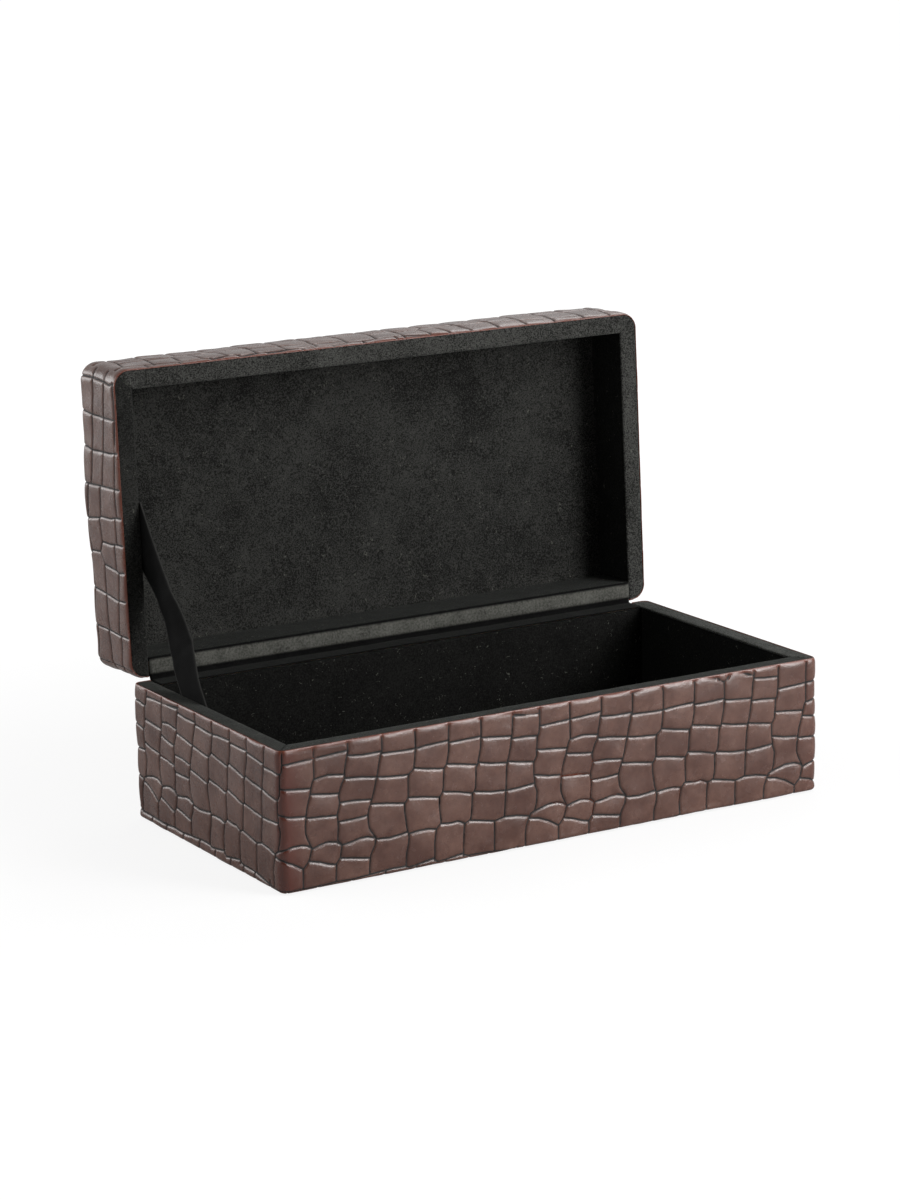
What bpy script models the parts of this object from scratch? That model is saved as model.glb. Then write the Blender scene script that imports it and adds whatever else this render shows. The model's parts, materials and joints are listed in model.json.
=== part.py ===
"""Storage box with an open lid: a board carcass in embossed leather cloth, lined with suede.

Frame: +Z up, origin under the centre of the base, +X to the right along the long side, front towards -Y.
The lid is shown open, at rest on its ribbon. Lengths are in metres and angles in degrees.
"""

import math

import bmesh
import bpy
from mathutils import Vector

# Overall sizes
BOX_WIDTH = 0.280
BOX_DEPTH = 0.142
BASE_HEIGHT = 0.0635
LID_HEIGHT = 0.038
OPEN_ANGLE = 92.5

# Outer leather
LEATHER = 0.001
BASE_CORNER_RADIUS = 0.004
BASE_EDGE_RADIUS = 0.002
LID_CORNER_RADIUS = 0.008
LID_EDGE_RADIUS = 0.0048
LEATHER_LIP = 0.0003
LEATHER_TURN_IN = 0.012
TURN_IN_CORNER = 0.0006

# Boards
WALL_BOARD = 0.0062
BOTTOM_BOARD = 0.004
TOP_BOARD = 0.0022
TOP_BOARD_EDGE = 0.0004

# Foam over the lid's top board, under the leather
TOP_FOAM = 0.0036

# Suede linings, each folded round a card
CARD = 0.001
SUEDE = 0.0005
RIM_SUEDE = 0.0008

# Foam pad of the lid's top lining, which swells towards its middle
PAD_FOAM = 0.001
PAD_CROWN = 0.0012
PAD_SHOULDER = 0.030
PAD_STEPS = 5

# Bottom felt
FELT = 0.0014
FELT_STANDS_BELOW_LEATHER = 0.0004

# Clearances
GLUE_GAP = 0.0003
RIM_DROP = 0.0003
SEAM_GAP = 0.0005
CUT_OVERRUN = 0.002

# Hinge cloth
HINGE_CLOTH = 0.0005

# Stay ribbon at the left end, measured from the hinge line along each rim
RIBBON_WIDTH = 0.020
RIBBON_THICKNESS = 0.0005
RIBBON_BASE_REACH = 0.0427
RIBBON_LID_REACH = 0.0624
RIBBON_TAIL = 0.016
RIBBON_BOW = 0.004
RIBBON_BOW_PLACE_SHARE = 0.32
RIBBON_STEPS = 16

CORNER_SEGMENTS = 5
EDGE_SEGMENTS = 4

# Worked out from the sizes above
HALF_WIDTH = BOX_WIDTH / 2
HALF_DEPTH = BOX_DEPTH / 2
BOARD_OFFSET = LEATHER + GLUE_GAP
LINING_OFFSET = BOARD_OFFSET + WALL_BOARD + GLUE_GAP
LINING_THICKNESS = CARD + GLUE_GAP + SUEDE
PAD_THICKNESS = LINING_THICKNESS + PAD_FOAM + GLUE_GAP
WALL = LINING_OFFSET + LINING_THICKNESS
RIM_STACK = RIM_DROP + RIM_SUEDE + GLUE_GAP
LEATHER_BOTTOM = FELT_STANDS_BELOW_LEATHER

# Outward normal of each side, and the direction along it
SIDES = {
    "front": (Vector((0, -1)), Vector((1, 0))),
    "back": (Vector((0, 1)), Vector((1, 0))),
    "left": (Vector((-1, 0)), Vector((0, 1))),
    "right": (Vector((1, 0)), Vector((0, 1))),
}


class Half:
    """The base or the lid. Depth is measured from its rim into it, so that both take the same pieces."""

    def __init__(self, name, height, shift_y, rim_z, inward, corner_radius, parent):
        self.name = name
        self.height = height
        self.shift_y = shift_y
        self.rim_z = rim_z
        self.inward = inward
        self.corner_radius = corner_radius
        self.parent = parent

    def z(self, depth):
        return self.rim_z + self.inward * depth


def clear_scene():
    for obj in list(bpy.data.objects):
        bpy.data.objects.remove(obj, do_unlink=True)


def make_material(name, colour, roughness):
    material = bpy.data.materials.new(name)
    material.use_nodes = True
    shader = material.node_tree.nodes["Principled BSDF"]
    shader.inputs["Base Color"].default_value = (*colour, 1)
    shader.inputs["Roughness"].default_value = roughness
    shader.inputs["Metallic"].default_value = 0
    return material


def add_object(name, bm, material, half, location=(0, 0, 0)):
    """Turns bm into an object of one of the halves, with its faces pointing out."""
    bmesh.ops.recalc_face_normals(bm, faces=bm.faces)
    mesh = bpy.data.meshes.new(name)
    bm.to_mesh(mesh)
    bm.free()
    own_material = material.copy()
    own_material.name = name
    mesh.materials.append(own_material)
    obj = bpy.data.objects.new(name, mesh)
    bpy.context.scene.collection.objects.link(obj)
    obj.parent = half.parent
    obj.location = Vector(location) + Vector((0, half.shift_y, 0))
    return obj


# Outlines


def rounded_outline(half_x, half_y, radius):
    """A rectangle with round corners, anticlockwise, centred on the origin."""
    points = []
    for quarter, (sx, sy) in enumerate([(1, 1), (-1, 1), (-1, -1), (1, -1)]):
        centre = Vector((sx * (half_x - radius), sy * (half_y - radius)))
        for step in range(CORNER_SEGMENTS + 1):
            angle = math.radians(90 * (quarter + step / CORNER_SEGMENTS))
            points.append(centre + radius * Vector((math.cos(angle), math.sin(angle))))
    return points


def clipped(points, place, normal):
    """The part of a convex outline that lies behind the line through place, square to normal."""
    kept = []
    for here, following in zip(points, points[1:] + points[:1]):
        side_here = (here - place).dot(normal)
        side_following = (following - place).dot(normal)
        if side_here <= 0:
            kept.append(here)
        if side_here * side_following < 0:
            kept.append(here.lerp(following, side_here / (side_here - side_following)))
    return kept


def side_outline(side, offset, radius, width, mitred_ends):
    """One side of a frame that lies offset inside the box: a strip this wide, mitred at the ends named."""
    normal, along = SIDES[side]
    half_x, half_y = HALF_WIDTH - offset, HALF_DEPTH - offset
    reach = abs(normal.x) * half_x + abs(normal.y) * half_y
    length = abs(along.x) * half_x + abs(along.y) * half_y
    points = rounded_outline(half_x, half_y, radius)
    points = clipped(points, normal * (reach - width), -normal)
    for end in mitred_ends:
        slant = (end * along - normal).normalized()
        corner = normal * reach + end * length * along
        points = clipped(points, corner - slant * GLUE_GAP / 2, slant)
    return points


# Solids


def prism(name, points, depths, material, half):
    """The outline, extruded between two depths."""
    low, high = sorted(half.z(depth) for depth in depths)
    bm = bmesh.new()
    face = bm.faces.new([bm.verts.new((p.x, p.y, 0)) for p in points])
    raised = bmesh.ops.extrude_face_region(bm, geom=[face])["geom"]
    tops = [v for v in raised if isinstance(v, bmesh.types.BMVert)]
    bmesh.ops.translate(bm, verts=tops, vec=(0, 0, high - low))
    return add_object(name, bm, material, half, (0, 0, low))


def block(x_range, y_range, depths, half):
    """The mesh of a block between these limits, about its own centre, and the place of that centre."""
    ranges = (x_range, y_range, sorted(half.z(depth) for depth in depths))
    bm = bmesh.new()
    bmesh.ops.create_cube(bm, size=1)
    bmesh.ops.scale(bm, verts=bm.verts, vec=[high - low for low, high in ranges])
    return bm, [(high + low) / 2 for low, high in ranges]


def box(name, x_range, y_range, depths, material, half):
    bm, centre = block(x_range, y_range, depths, half)
    return add_object(name, bm, material, half, centre)


def tray(name, x_range, y_range, depths, open_normal, material, half):
    """A block of suede hollowed from the side that open_normal points to, where its card goes."""
    bm, centre = block(x_range, y_range, depths, half)
    bm.normal_update()
    back = max(bm.faces, key=lambda face: face.normal.dot(open_normal))
    bmesh.ops.inset_region(bm, faces=[back], thickness=SUEDE)
    pocket = bmesh.ops.extrude_discrete_faces(bm, faces=[back])["faces"][0]
    pocket_depth = LINING_THICKNESS - SUEDE
    bmesh.ops.translate(bm, verts=pocket.verts, vec=-open_normal * pocket_depth)
    return add_object(name, bm, material, half, centre)


def loft(name, loops, material, half, ring):
    """Joins outlines, each with its height. A ring closes on itself; otherwise the ends are capped."""
    bm = bmesh.new()
    rows = [[bm.verts.new((p.x, p.y, z)) for p in points] for points, z in loops]
    pairs = list(zip(rows, rows[1:]))
    if ring:
        pairs.append((rows[-1], rows[0]))
    else:
        bm.faces.new(rows[0])
        bm.faces.new(rows[-1])
    for lower, upper in pairs:
        for i in range(len(lower)):
            j = (i + 1) % len(lower)
            bm.faces.new((lower[i], lower[j], upper[j], upper[i]))
    obj = add_object(name, bm, material, half)
    obj.data.shade_smooth()
    obj.data.set_sharp_from_angle(angle=math.radians(40))
    return obj


def cut(obj, cutter):
    """Takes the cutter's shape out of obj."""
    cutter.hide_render = True
    cutter.display_type = "WIRE"
    boolean = obj.modifiers.new("notch", "BOOLEAN")
    boolean.operation = "DIFFERENCE"
    boolean.solver = "EXACT"
    boolean.object = cutter


# Leather


def outline_at(offset, corner_radius):
    radius = max(corner_radius - offset, TURN_IN_CORNER)
    return rounded_outline(HALF_WIDTH - offset, HALF_DEPTH - offset, radius)


def quarter_turn(radius, segments):
    """Steps of a quarter circle, as the shares of the radius still to go and already gone."""
    for step in range(segments + 1):
        angle = math.radians(90 * step / segments)
        yield radius * (1 - math.cos(angle)), radius * (1 - math.sin(angle))


def base_leather(half, material):
    """The wrap of the four sides, turned in under the bottom board and cut at the rim."""
    top = half.height
    foot = LEATHER_BOTTOM
    profile = [(LEATHER_TURN_IN, foot)]
    for rise, inset in quarter_turn(BASE_EDGE_RADIUS, EDGE_SEGMENTS):
        profile.append((inset, foot + rise))
    profile += [
        (0, top - LEATHER_LIP),
        (LEATHER_LIP, top),
        (LEATHER, top),
        (LEATHER, foot + LEATHER),
        (LEATHER_TURN_IN, foot + LEATHER),
    ]
    loops = [(outline_at(offset, half.corner_radius), z) for offset, z in profile]
    return loft("base_leather_wrap", loops, material, half, ring=True)


def lid_leather(half, material):
    """The wrap of the lid's four sides and its top."""
    top = half.height
    inner_radius = LID_EDGE_RADIUS - LEATHER
    profile = []
    for rise, inset in quarter_turn(inner_radius, EDGE_SEGMENTS):
        profile.append((LEATHER + rise, top - LEATHER - inset))
    profile.sort(reverse=True)
    profile += [(LEATHER, 0), (LEATHER_LIP, 0), (0, LEATHER_LIP)]
    outer = [(rise, top - inset) for rise, inset in quarter_turn(LID_EDGE_RADIUS, EDGE_SEGMENTS)]
    profile += sorted(outer)
    loops = [(outline_at(offset, half.corner_radius), half.z(depth)) for offset, depth in profile]
    return loft("lid_leather_wrap", loops, material, half, ring=False)


def hinge_notch(half, leather):
    """Lowers the back edge of the leather where the hinge cloth crosses it."""
    reach = HALF_WIDTH - WALL
    y_range = (HALF_DEPTH - BOARD_OFFSET, HALF_DEPTH + CUT_OVERRUN)
    depths = (-CUT_OVERRUN, RIM_DROP + HINGE_CLOTH + GLUE_GAP)
    name = half.name + "_hinge_notch"
    cut(leather, box(name, (-reach, reach), y_range, depths, leather.active_material, half))


# Boards, linings, rims


def wall_boards(half, last_depth, material):
    radius = half.corner_radius - BOARD_OFFSET
    for side in SIDES:
        points = side_outline(side, BOARD_OFFSET, radius, WALL_BOARD, (-1, 1))
        prism(f"{half.name}_{side}_board", points, (RIM_STACK, last_depth), material, half)


def top_layer(name, first_depth, thickness, edge_radius, material, half):
    """A plate over the lid's walls, its upper edges rounded to sit in the leather."""
    radius = half.corner_radius - BOARD_OFFSET
    profile = [(0, first_depth)]
    for rise, inset in sorted(quarter_turn(edge_radius, EDGE_SEGMENTS)):
        profile.append((rise, first_depth + thickness - inset))
    loops = []
    for inset, depth in profile:
        offset = BOARD_OFFSET + inset
        outline = rounded_outline(HALF_WIDTH - offset, HALF_DEPTH - offset, radius - inset)
        loops.append((outline, half.z(depth)))
    loft(name, loops, material, half, ring=False)


def card_in(name, x_range, y_range, depths, open_normal, material, half):
    """The card in a suede tray that has these limits: clear of its folds, and flush with its open side."""
    fold = SUEDE + GLUE_GAP
    limits = []
    for index, (low, high) in enumerate((x_range, y_range, depths)):
        towards_open = open_normal[index] if index < 2 else open_normal[2] * half.inward
        limits.append((low if towards_open < 0 else low + fold, high if towards_open > 0 else high - fold))
    box(name, *limits, material, half)


def lining(name, x_range, y_range, depths, open_normal, suede, card, half):
    tray(f"{half.name}_{name}_lining", x_range, y_range, depths, open_normal, suede, half)
    card_in(f"{half.name}_{name}_lining_card", x_range, y_range, depths, open_normal, card, half)


def floor_lining(half, panel_depth, suede, card):
    """The flat panel on the base's floor."""
    outer_x, outer_y = HALF_WIDTH - LINING_OFFSET, HALF_DEPTH - LINING_OFFSET
    depths = (panel_depth, panel_depth + LINING_THICKNESS)
    away = Vector((0, 0, half.inward))
    lining("floor", (-outer_x, outer_x), (-outer_y, outer_y), depths, away, suede, card, half)


def crown(edge_depth):
    """The swell of the lid's pad, from its edge to its middle, as pairs of inset and depth."""
    start = WALL + GLUE_GAP
    for step in range(PAD_STEPS + 1):
        share = step / PAD_STEPS
        rise = PAD_CROWN * math.sin(math.radians(90 * share))
        yield start + PAD_SHOULDER * share, edge_depth - rise


def padded_lining(half, panel_depth, suede, card, foam):
    """The lid's top lining: a card and a foam pad in a tray of suede, which shows the pad's swell."""
    back = panel_depth + PAD_THICKNESS
    fold = LINING_OFFSET + SUEDE
    inside = fold + GLUE_GAP
    profile = list(crown(panel_depth + SUEDE))[::-1]
    profile += [(fold, panel_depth + SUEDE), (fold, back)]
    profile += [(LINING_OFFSET, back), (LINING_OFFSET, panel_depth)]
    profile += crown(panel_depth)
    pad = [(inside, back - CARD - GLUE_GAP), (inside, panel_depth + SUEDE + GLUE_GAP)]
    pad += crown(panel_depth + SUEDE + GLUE_GAP)
    for name, pairs, material in (("lid_top_lining", profile, suede), ("lid_top_lining_foam", pad, foam)):
        loops = [(outline_at(inset, TURN_IN_CORNER), half.z(depth)) for inset, depth in pairs]
        loft(name, loops, material, half, ring=False)
    card_x, card_y = HALF_WIDTH - inside, HALF_DEPTH - inside
    box("lid_top_lining_card", (-card_x, card_x), (-card_y, card_y), (back - CARD, back), card, half)


def wall_linings(half, panel_depth, suede, card):
    """The four walls, which stand on the floor panel or on the top panel's edge."""
    outer_x, outer_y = HALF_WIDTH - LINING_OFFSET, HALF_DEPTH - LINING_OFFSET
    inner_x, inner_y = HALF_WIDTH - WALL, HALF_DEPTH - WALL
    walls = (RIM_STACK, panel_depth - GLUE_GAP)
    between = (-inner_y + GLUE_GAP, inner_y - GLUE_GAP)
    for side, (normal, _) in SIDES.items():
        out = Vector((*normal, 0))
        if normal.y:
            y_range = sorted((normal.y * inner_y, normal.y * outer_y))
            lining(side, (-outer_x, outer_x), y_range, walls, out, suede, card, half)
        else:
            x_range = sorted((normal.x * inner_x, normal.x * outer_x))
            lining(side, x_range, between, walls, out, suede, card, half)


def rims(half, suede, cloth):
    """Suede over the tops of three walls, mitred at the front; the hinge cloth lies on the fourth."""
    radius = half.corner_radius - BOARD_OFFSET
    width = WALL - BOARD_OFFSET
    depths = (RIM_DROP, RIM_DROP + RIM_SUEDE)
    for side, ends in {"front": (-1, 1), "left": (-1,), "right": (-1,)}.items():
        points = side_outline(side, BOARD_OFFSET, radius, width, ends)
        prism(f"{half.name}_{side}_rim", points, depths, suede, half)
    reach = HALF_WIDTH - WALL - GLUE_GAP
    leaf_depths = (RIM_DROP, RIM_DROP + HINGE_CLOTH)
    y_range = (HALF_DEPTH - WALL, HALF_DEPTH)
    box(f"hinge_cloth_{half.name}_leaf", (-reach, reach), y_range, leaf_depths, cloth, half)


# Ribbon


def ribbon(half, material):
    """A flat ribbon from the base's left lining to the lid's, bowed away from the wall where it is slack."""
    hinge = Vector((HALF_DEPTH, BASE_HEIGHT + SEAM_GAP / 2))
    opened = math.radians(OPEN_ANGLE)
    low = hinge - Vector((RIBBON_BASE_REACH, 0))
    high = hinge + Vector((-RIBBON_LID_REACH * math.cos(opened), RIBBON_LID_REACH * math.sin(opened)))
    along = (high - low).normalized()
    across = Vector((along.y, -along.x))
    span = (high - low).length
    wall_x = -HALF_WIDTH + WALL + GLUE_GAP
    bm = bmesh.new()
    rows = []
    for step in range(RIBBON_STEPS + 1):
        reach = -RIBBON_TAIL + (span + 2 * RIBBON_TAIL) * step / RIBBON_STEPS
        share = min(max(reach / span, 0), 1)
        x = wall_x + RIBBON_BOW * bow(share)
        centre = low + reach * along
        row = []
        for half_width, depth in ((-1, 0), (1, 0), (1, 1), (-1, 1)):
            edge = centre + half_width * RIBBON_WIDTH / 2 * across
            row.append(bm.verts.new((x + depth * RIBBON_THICKNESS, edge.x, edge.y)))
        rows.append(row)
    bm.faces.new(rows[0])
    bm.faces.new(rows[-1])
    for lower, upper in zip(rows, rows[1:]):
        for i in range(4):
            j = (i + 1) % 4
            bm.faces.new((lower[i], lower[j], upper[j], upper[i]))
    return add_object("stay_ribbon", bm, material, half)


def bow(share):
    """How far out of the wall's plane the ribbon lies, from 0 at both ends to 1 at its knee."""
    if share < RIBBON_BOW_PLACE_SHARE:
        way = share / RIBBON_BOW_PLACE_SHARE
    else:
        way = (1 - share) / (1 - RIBBON_BOW_PLACE_SHARE)
    return math.sin(math.radians(90 * way)) ** 2


# The whole box


def build_base(colours):
    half = Half("base", BASE_HEIGHT, 0, BASE_HEIGHT, -1, BASE_CORNER_RADIUS, None)
    board_end = BASE_HEIGHT - LEATHER_BOTTOM - LEATHER - GLUE_GAP
    bottom_start = board_end - BOTTOM_BOARD
    panel_depth = bottom_start - GLUE_GAP - LINING_THICKNESS
    leather = base_leather(half, colours["leather"])
    hinge_notch(half, leather)
    wall_boards(half, board_end, colours["board"])
    inside_x, inside_y = HALF_WIDTH - LINING_OFFSET, HALF_DEPTH - LINING_OFFSET
    bottom = (bottom_start, board_end)
    box("base_bottom_board", (-inside_x, inside_x), (-inside_y, inside_y), bottom, colours["board"], half)
    felt_x = HALF_WIDTH - LEATHER_TURN_IN - GLUE_GAP
    felt_y = HALF_DEPTH - LEATHER_TURN_IN - GLUE_GAP
    felt = (BASE_HEIGHT - FELT, BASE_HEIGHT)
    box("base_bottom_felt", (-felt_x, felt_x), (-felt_y, felt_y), felt, colours["felt"], half)
    floor_lining(half, panel_depth, colours["suede"], colours["card"])
    wall_linings(half, panel_depth, colours["suede"], colours["card"])
    rims(half, colours["suede"], colours["cloth"])
    return half


def build_lid(colours):
    axis = bpy.data.objects.new("lid_hinge_axis", None)
    bpy.context.scene.collection.objects.link(axis)
    axis.location = (0, HALF_DEPTH, BASE_HEIGHT + SEAM_GAP / 2)
    axis.rotation_euler = (math.radians(-OPEN_ANGLE), 0, 0)
    half = Half("lid", LID_HEIGHT, -HALF_DEPTH, SEAM_GAP / 2, 1, LID_CORNER_RADIUS, axis)
    foam_start = LID_HEIGHT - LEATHER - GLUE_GAP - TOP_FOAM
    board_start = foam_start - GLUE_GAP - TOP_BOARD
    panel_depth = board_start - GLUE_GAP - PAD_THICKNESS
    leather = lid_leather(half, colours["leather"])
    hinge_notch(half, leather)
    foam_edge = LID_EDGE_RADIUS - BOARD_OFFSET
    top_layer("lid_top_foam", foam_start, TOP_FOAM, foam_edge, colours["foam"], half)
    top_layer("lid_top_board", board_start, TOP_BOARD, TOP_BOARD_EDGE, colours["board"], half)
    wall_boards(half, board_start - GLUE_GAP, colours["board"])
    padded_lining(half, panel_depth, colours["suede"], colours["card"], colours["foam"])
    wall_linings(half, panel_depth, colours["suede"], colours["card"])
    rims(half, colours["suede"], colours["cloth"])


def main():
    clear_scene()
    colours = {
        "leather": make_material("leather", (0.13, 0.075, 0.062), 0.38),
        "board": make_material("board", (0.42, 0.30, 0.19), 0.8),
        "card": make_material("card", (0.35, 0.34, 0.32), 0.9),
        "suede": make_material("suede", (0.012, 0.012, 0.011), 1.0),
        "cloth": make_material("cloth", (0.045, 0.045, 0.042), 0.95),
        "foam": make_material("foam", (0.55, 0.53, 0.48), 1.0),
        "felt": make_material("felt", (0.01, 0.01, 0.01), 1.0),
        "ribbon": make_material("ribbon", (0.01, 0.01, 0.01), 0.9),
    }
    base = build_base(colours)
    build_lid(colours)
    ribbon(base, colours["ribbon"])


main()
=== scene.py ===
# Looks of the storage box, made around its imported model. Lengths are in metres, and pattern lengths in
# millimetres. Pieces of the lid are made closed, in their place over the base, and then turned open.

import json
import math

import bmesh
import bpy
import numpy as np
from mathutils import Matrix, Vector

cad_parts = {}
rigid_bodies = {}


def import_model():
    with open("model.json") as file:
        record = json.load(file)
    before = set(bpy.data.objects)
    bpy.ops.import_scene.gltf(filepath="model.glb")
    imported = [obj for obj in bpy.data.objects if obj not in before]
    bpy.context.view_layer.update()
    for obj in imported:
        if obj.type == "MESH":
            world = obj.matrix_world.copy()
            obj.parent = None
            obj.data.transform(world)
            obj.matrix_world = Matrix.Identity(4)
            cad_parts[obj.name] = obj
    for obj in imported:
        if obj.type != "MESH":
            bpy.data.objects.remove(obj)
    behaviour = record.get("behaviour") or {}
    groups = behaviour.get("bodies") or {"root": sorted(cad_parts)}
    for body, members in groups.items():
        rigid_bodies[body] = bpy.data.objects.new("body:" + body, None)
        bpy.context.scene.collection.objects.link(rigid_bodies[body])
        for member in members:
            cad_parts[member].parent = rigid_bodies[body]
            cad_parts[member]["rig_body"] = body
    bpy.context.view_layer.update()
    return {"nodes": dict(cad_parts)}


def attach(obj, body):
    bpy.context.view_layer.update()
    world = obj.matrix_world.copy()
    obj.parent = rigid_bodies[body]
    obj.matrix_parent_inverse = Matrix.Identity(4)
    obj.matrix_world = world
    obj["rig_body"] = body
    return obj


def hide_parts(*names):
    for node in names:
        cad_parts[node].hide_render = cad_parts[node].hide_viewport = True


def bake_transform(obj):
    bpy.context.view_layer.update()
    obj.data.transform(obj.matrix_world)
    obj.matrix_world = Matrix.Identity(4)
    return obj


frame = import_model()

HALF_WIDTH, HALF_DEPTH = 0.140, 0.071
BASE_HEIGHT, LID_HEIGHT = 0.0635, 0.038
OPEN_ANGLE = 92.5
LEATHER, GAP, CARD, SUEDE, BOARD = 0.001, 0.0003, 0.001, 0.0005, 0.0062
BASE_CORNER, LID_CORNER, BASE_EDGE, LID_EDGE = 0.004, 0.008, 0.002, 0.0048
SEAM, RIM_SUEDE = 0.0005, 0.0008
TURN_IN, FOOT, NOTCH = 0.012, 0.0004, 0.0011
LIP_WIDTH, LIP_HEIGHT, INNER, INNER_TOP = 0.0011, 0.0028, 0.00125, 0.0035
BOARD_OFFSET = LEATHER + GAP
LINING_OFFSET = BOARD_OFFSET + BOARD + GAP
LINING = CARD + GAP + SUEDE
WALL = LINING_OFFSET + LINING
HINGE_Z = BASE_HEIGHT + SEAM / 2
LID_RIM = BASE_HEIGHT + SEAM
STEP = 0.00046

# Long waves of the leather: length, seed and height of each, and how far their middle is sunk.
LEATHER_WAVES = [(0.030, 3, 0.00020), (0.013, 4, 0.00012)]
WAVE_SINK = 0.00008
# How much of the pattern the first rows take, from the rim outwards, and how red they are.
RIM_WEIGHTS = np.array([0, 0, 0.15, 0.4, 0.7, 0.9])
RIM_EDGES = np.array([1, 1, 1, 1, 0.8, 0.3])

HINGE = Vector((0, HALF_DEPTH, HINGE_Z))
OPENED = (
    Matrix.Translation(HINGE)
    @ Matrix.Rotation(math.radians(-OPEN_ANGLE), 4, "X")
    @ Matrix.Translation(-HINGE)
)


# Meshes


def ripple(points, size, seed, count=14):
    """A smooth wavy field over the points, about -1 to 1, whose waves are about this long."""
    rng = np.random.default_rng(seed)
    total = np.zeros(len(points))
    for _ in range(count):
        direction = rng.normal(size=3)
        direction /= np.linalg.norm(direction)
        length = size * rng.uniform(0.7, 1.6)
        total += np.sin(points @ direction * (2 * math.pi / length) + rng.uniform(0, 2 * math.pi))
    return total / math.sqrt(count)


def make_piece(name, points, quads, material, body, replaced=(), caps=(), attributes=None):
    """A closed mesh from arrays, turned open with the lid where it belongs to it, and put on its body."""
    points = np.asarray(points, float)
    if body == "lid":
        turn = np.array(OPENED)
        points = points @ turn[:3, :3].T + turn[:3, 3]
    quads = np.asarray(quads, np.int64)
    corners = points[quads]
    volume = np.einsum("ij,ij->", corners[:, 0], np.cross(corners[:, 1], corners[:, 2]))
    volume += np.einsum("ij,ij->", corners[:, 0], np.cross(corners[:, 2], corners[:, 3]))
    for cap in caps:
        ring = points[np.asarray(cap)]
        fan = np.cross(ring[1:-1], ring[2:])
        volume += (fan @ ring[0]).sum()
    loops = [quads.ravel()] + [np.asarray(cap) for cap in caps]
    sizes = np.concatenate([np.full(len(quads), 4), [len(cap) for cap in caps]]).astype(np.int32)
    if volume < 0:
        loops = [quads[:, ::-1].ravel()] + [np.asarray(cap)[::-1] for cap in caps]
    loops = np.concatenate(loops).astype(np.int32)
    mesh = bpy.data.meshes.new(name)
    mesh.vertices.add(len(points))
    mesh.vertices.foreach_set("co", points.astype(np.float32).ravel())
    mesh.loops.add(len(loops))
    mesh.loops.foreach_set("vertex_index", loops)
    mesh.polygons.add(len(sizes))
    starts = np.concatenate([[0], np.cumsum(sizes)[:-1]]).astype(np.int32)
    mesh.polygons.foreach_set("loop_start", starts)
    mesh.update(calc_edges=True)
    for key, values in (attributes or {}).items():
        layer = mesh.attributes.new(key, "FLOAT", "POINT")
        layer.data.foreach_set("value", np.asarray(values, np.float32))
    mesh.materials.append(material)
    mesh.shade_smooth()
    obj = bpy.data.objects.new(name, mesh)
    bpy.context.scene.collection.objects.link(obj)
    if body in ("base", "lid"):
        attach(obj, body)
    if replaced:
        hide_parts(*replaced)
    return obj


def grid_quads(index, closed_rows=False, closed_columns=False):
    """Quads over a table of vertex numbers."""
    if closed_rows:
        index = np.vstack([index, index[:1]])
    if closed_columns:
        index = np.hstack([index, index[:, :1]])
    return np.stack([index[:-1, :-1], index[:-1, 1:], index[1:, 1:], index[1:, :-1]], -1).reshape(-1, 4)


# Embossed pattern
#
# One repeat of the scale pattern, in millimetres: u to the right, h up. Column seams wander down the
# repeat, and each column is cut across at its own heights.

COLUMN_SEAMS = [
    [(64, 0), (56, 0), (51.5, -0.5), (49.5, -1.5), (41, -2), (38.5, -3.5), (33, -3.5), (28, -3), (25, -2),
     (20, -2.5), (16.5, -3.5), (15.5, -5.5), (13.5, -6.5), (10, -8), (6, -8.5), (-1.5, -8.5)],
    [(64, 15.5), (46.5, 15.5), (44.5, 14.5), (42.5, 14), (40, 13.5), (37, 12.5), (33.5, 11.5), (30, 11),
     (26, 10.5), (23, 10.5), (20, 11.5), (16, 13.5), (14.5, 13), (11, 12), (9, 10.5), (7.5, 9),
     (-1.5, 8.5)],
    [(64, 32), (56, 32), (52.5, 31), (47.5, 30), (44.5, 30), (42, 28.5), (39, 27.5), (36.5, 27), (34, 27.5),
     (32, 27), (29, 26), (23.5, 26.5), (17.5, 26), (15, 28), (9.5, 27), (7, 25), (-1, 24.5)],
    [(64, 48.5), (53.5, 48.5), (51, 47.5), (47, 46.5), (42, 45.5), (36, 44), (31, 42.5), (28.5, 41.5),
     (26, 41), (23.5, 41), (20, 41.5), (17.5, 43), (15.5, 44.5), (12, 44), (8.5, 42), (6.5, 41.5),
     (-0.5, 41)],
    [(64, 63.5), (61, 65), (52, 65), (47.5, 64.5), (43.5, 64), (42.5, 63.5), (41, 61.5), (38.5, 61),
     (31, 61), (29, 60), (28, 59), (24.5, 59), (17, 60), (15, 60.5), (13, 61), (9.5, 60.5), (6, 59.5),
     (0, 59)],
    [(64, 81), (61, 82), (52.5, 81.5), (47.5, 81.5), (42.5, 80.5), (40.5, 79), (32, 78.5), (30, 78),
     (28, 76.5), (24.5, 76.5), (16.5, 77), (15, 75.5), (14, 74.5), (8, 73.5), (0, 73.5)],
    [(59.5, 98), (52, 98), (47, 97.5), (42.5, 96.5), (39.5, 96), (38.5, 95), (29.5, 94.5), (28, 94),
     (27, 93),
     (18.5, 92.5), (15.5, 92), (14.5, 90.5), (14, 89), (11, 88.5), (-1, 88)],
    [(64, 114.5), (60, 114.5), (56, 114), (51, 113.5), (44.5, 112.5), (40, 111.5), (38.5, 111), (35, 110.5),
     (27, 110), (21, 109.5), (14, 109)],
    [(12.5, 104), (8.5, 104), (-1, 103.5)],
    [(59.5, 98), (63, 93), (78.5, 92.5)],
    [(59.5, 98), (63, 102), (78.5, 103)],
    [(64, 0), (78.5, 3)],
    [(64, 15.5), (78.5, 18)],
    [(64, 32), (78.5, 34.5)],
    [(64, 48.5), (79, 50.5)],
    [(64, 63.5), (78.5, 66)],
    [(64, 81), (78.5, 80.5)],
    [(64, 114.5), (78.5, 117)],
]

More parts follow.
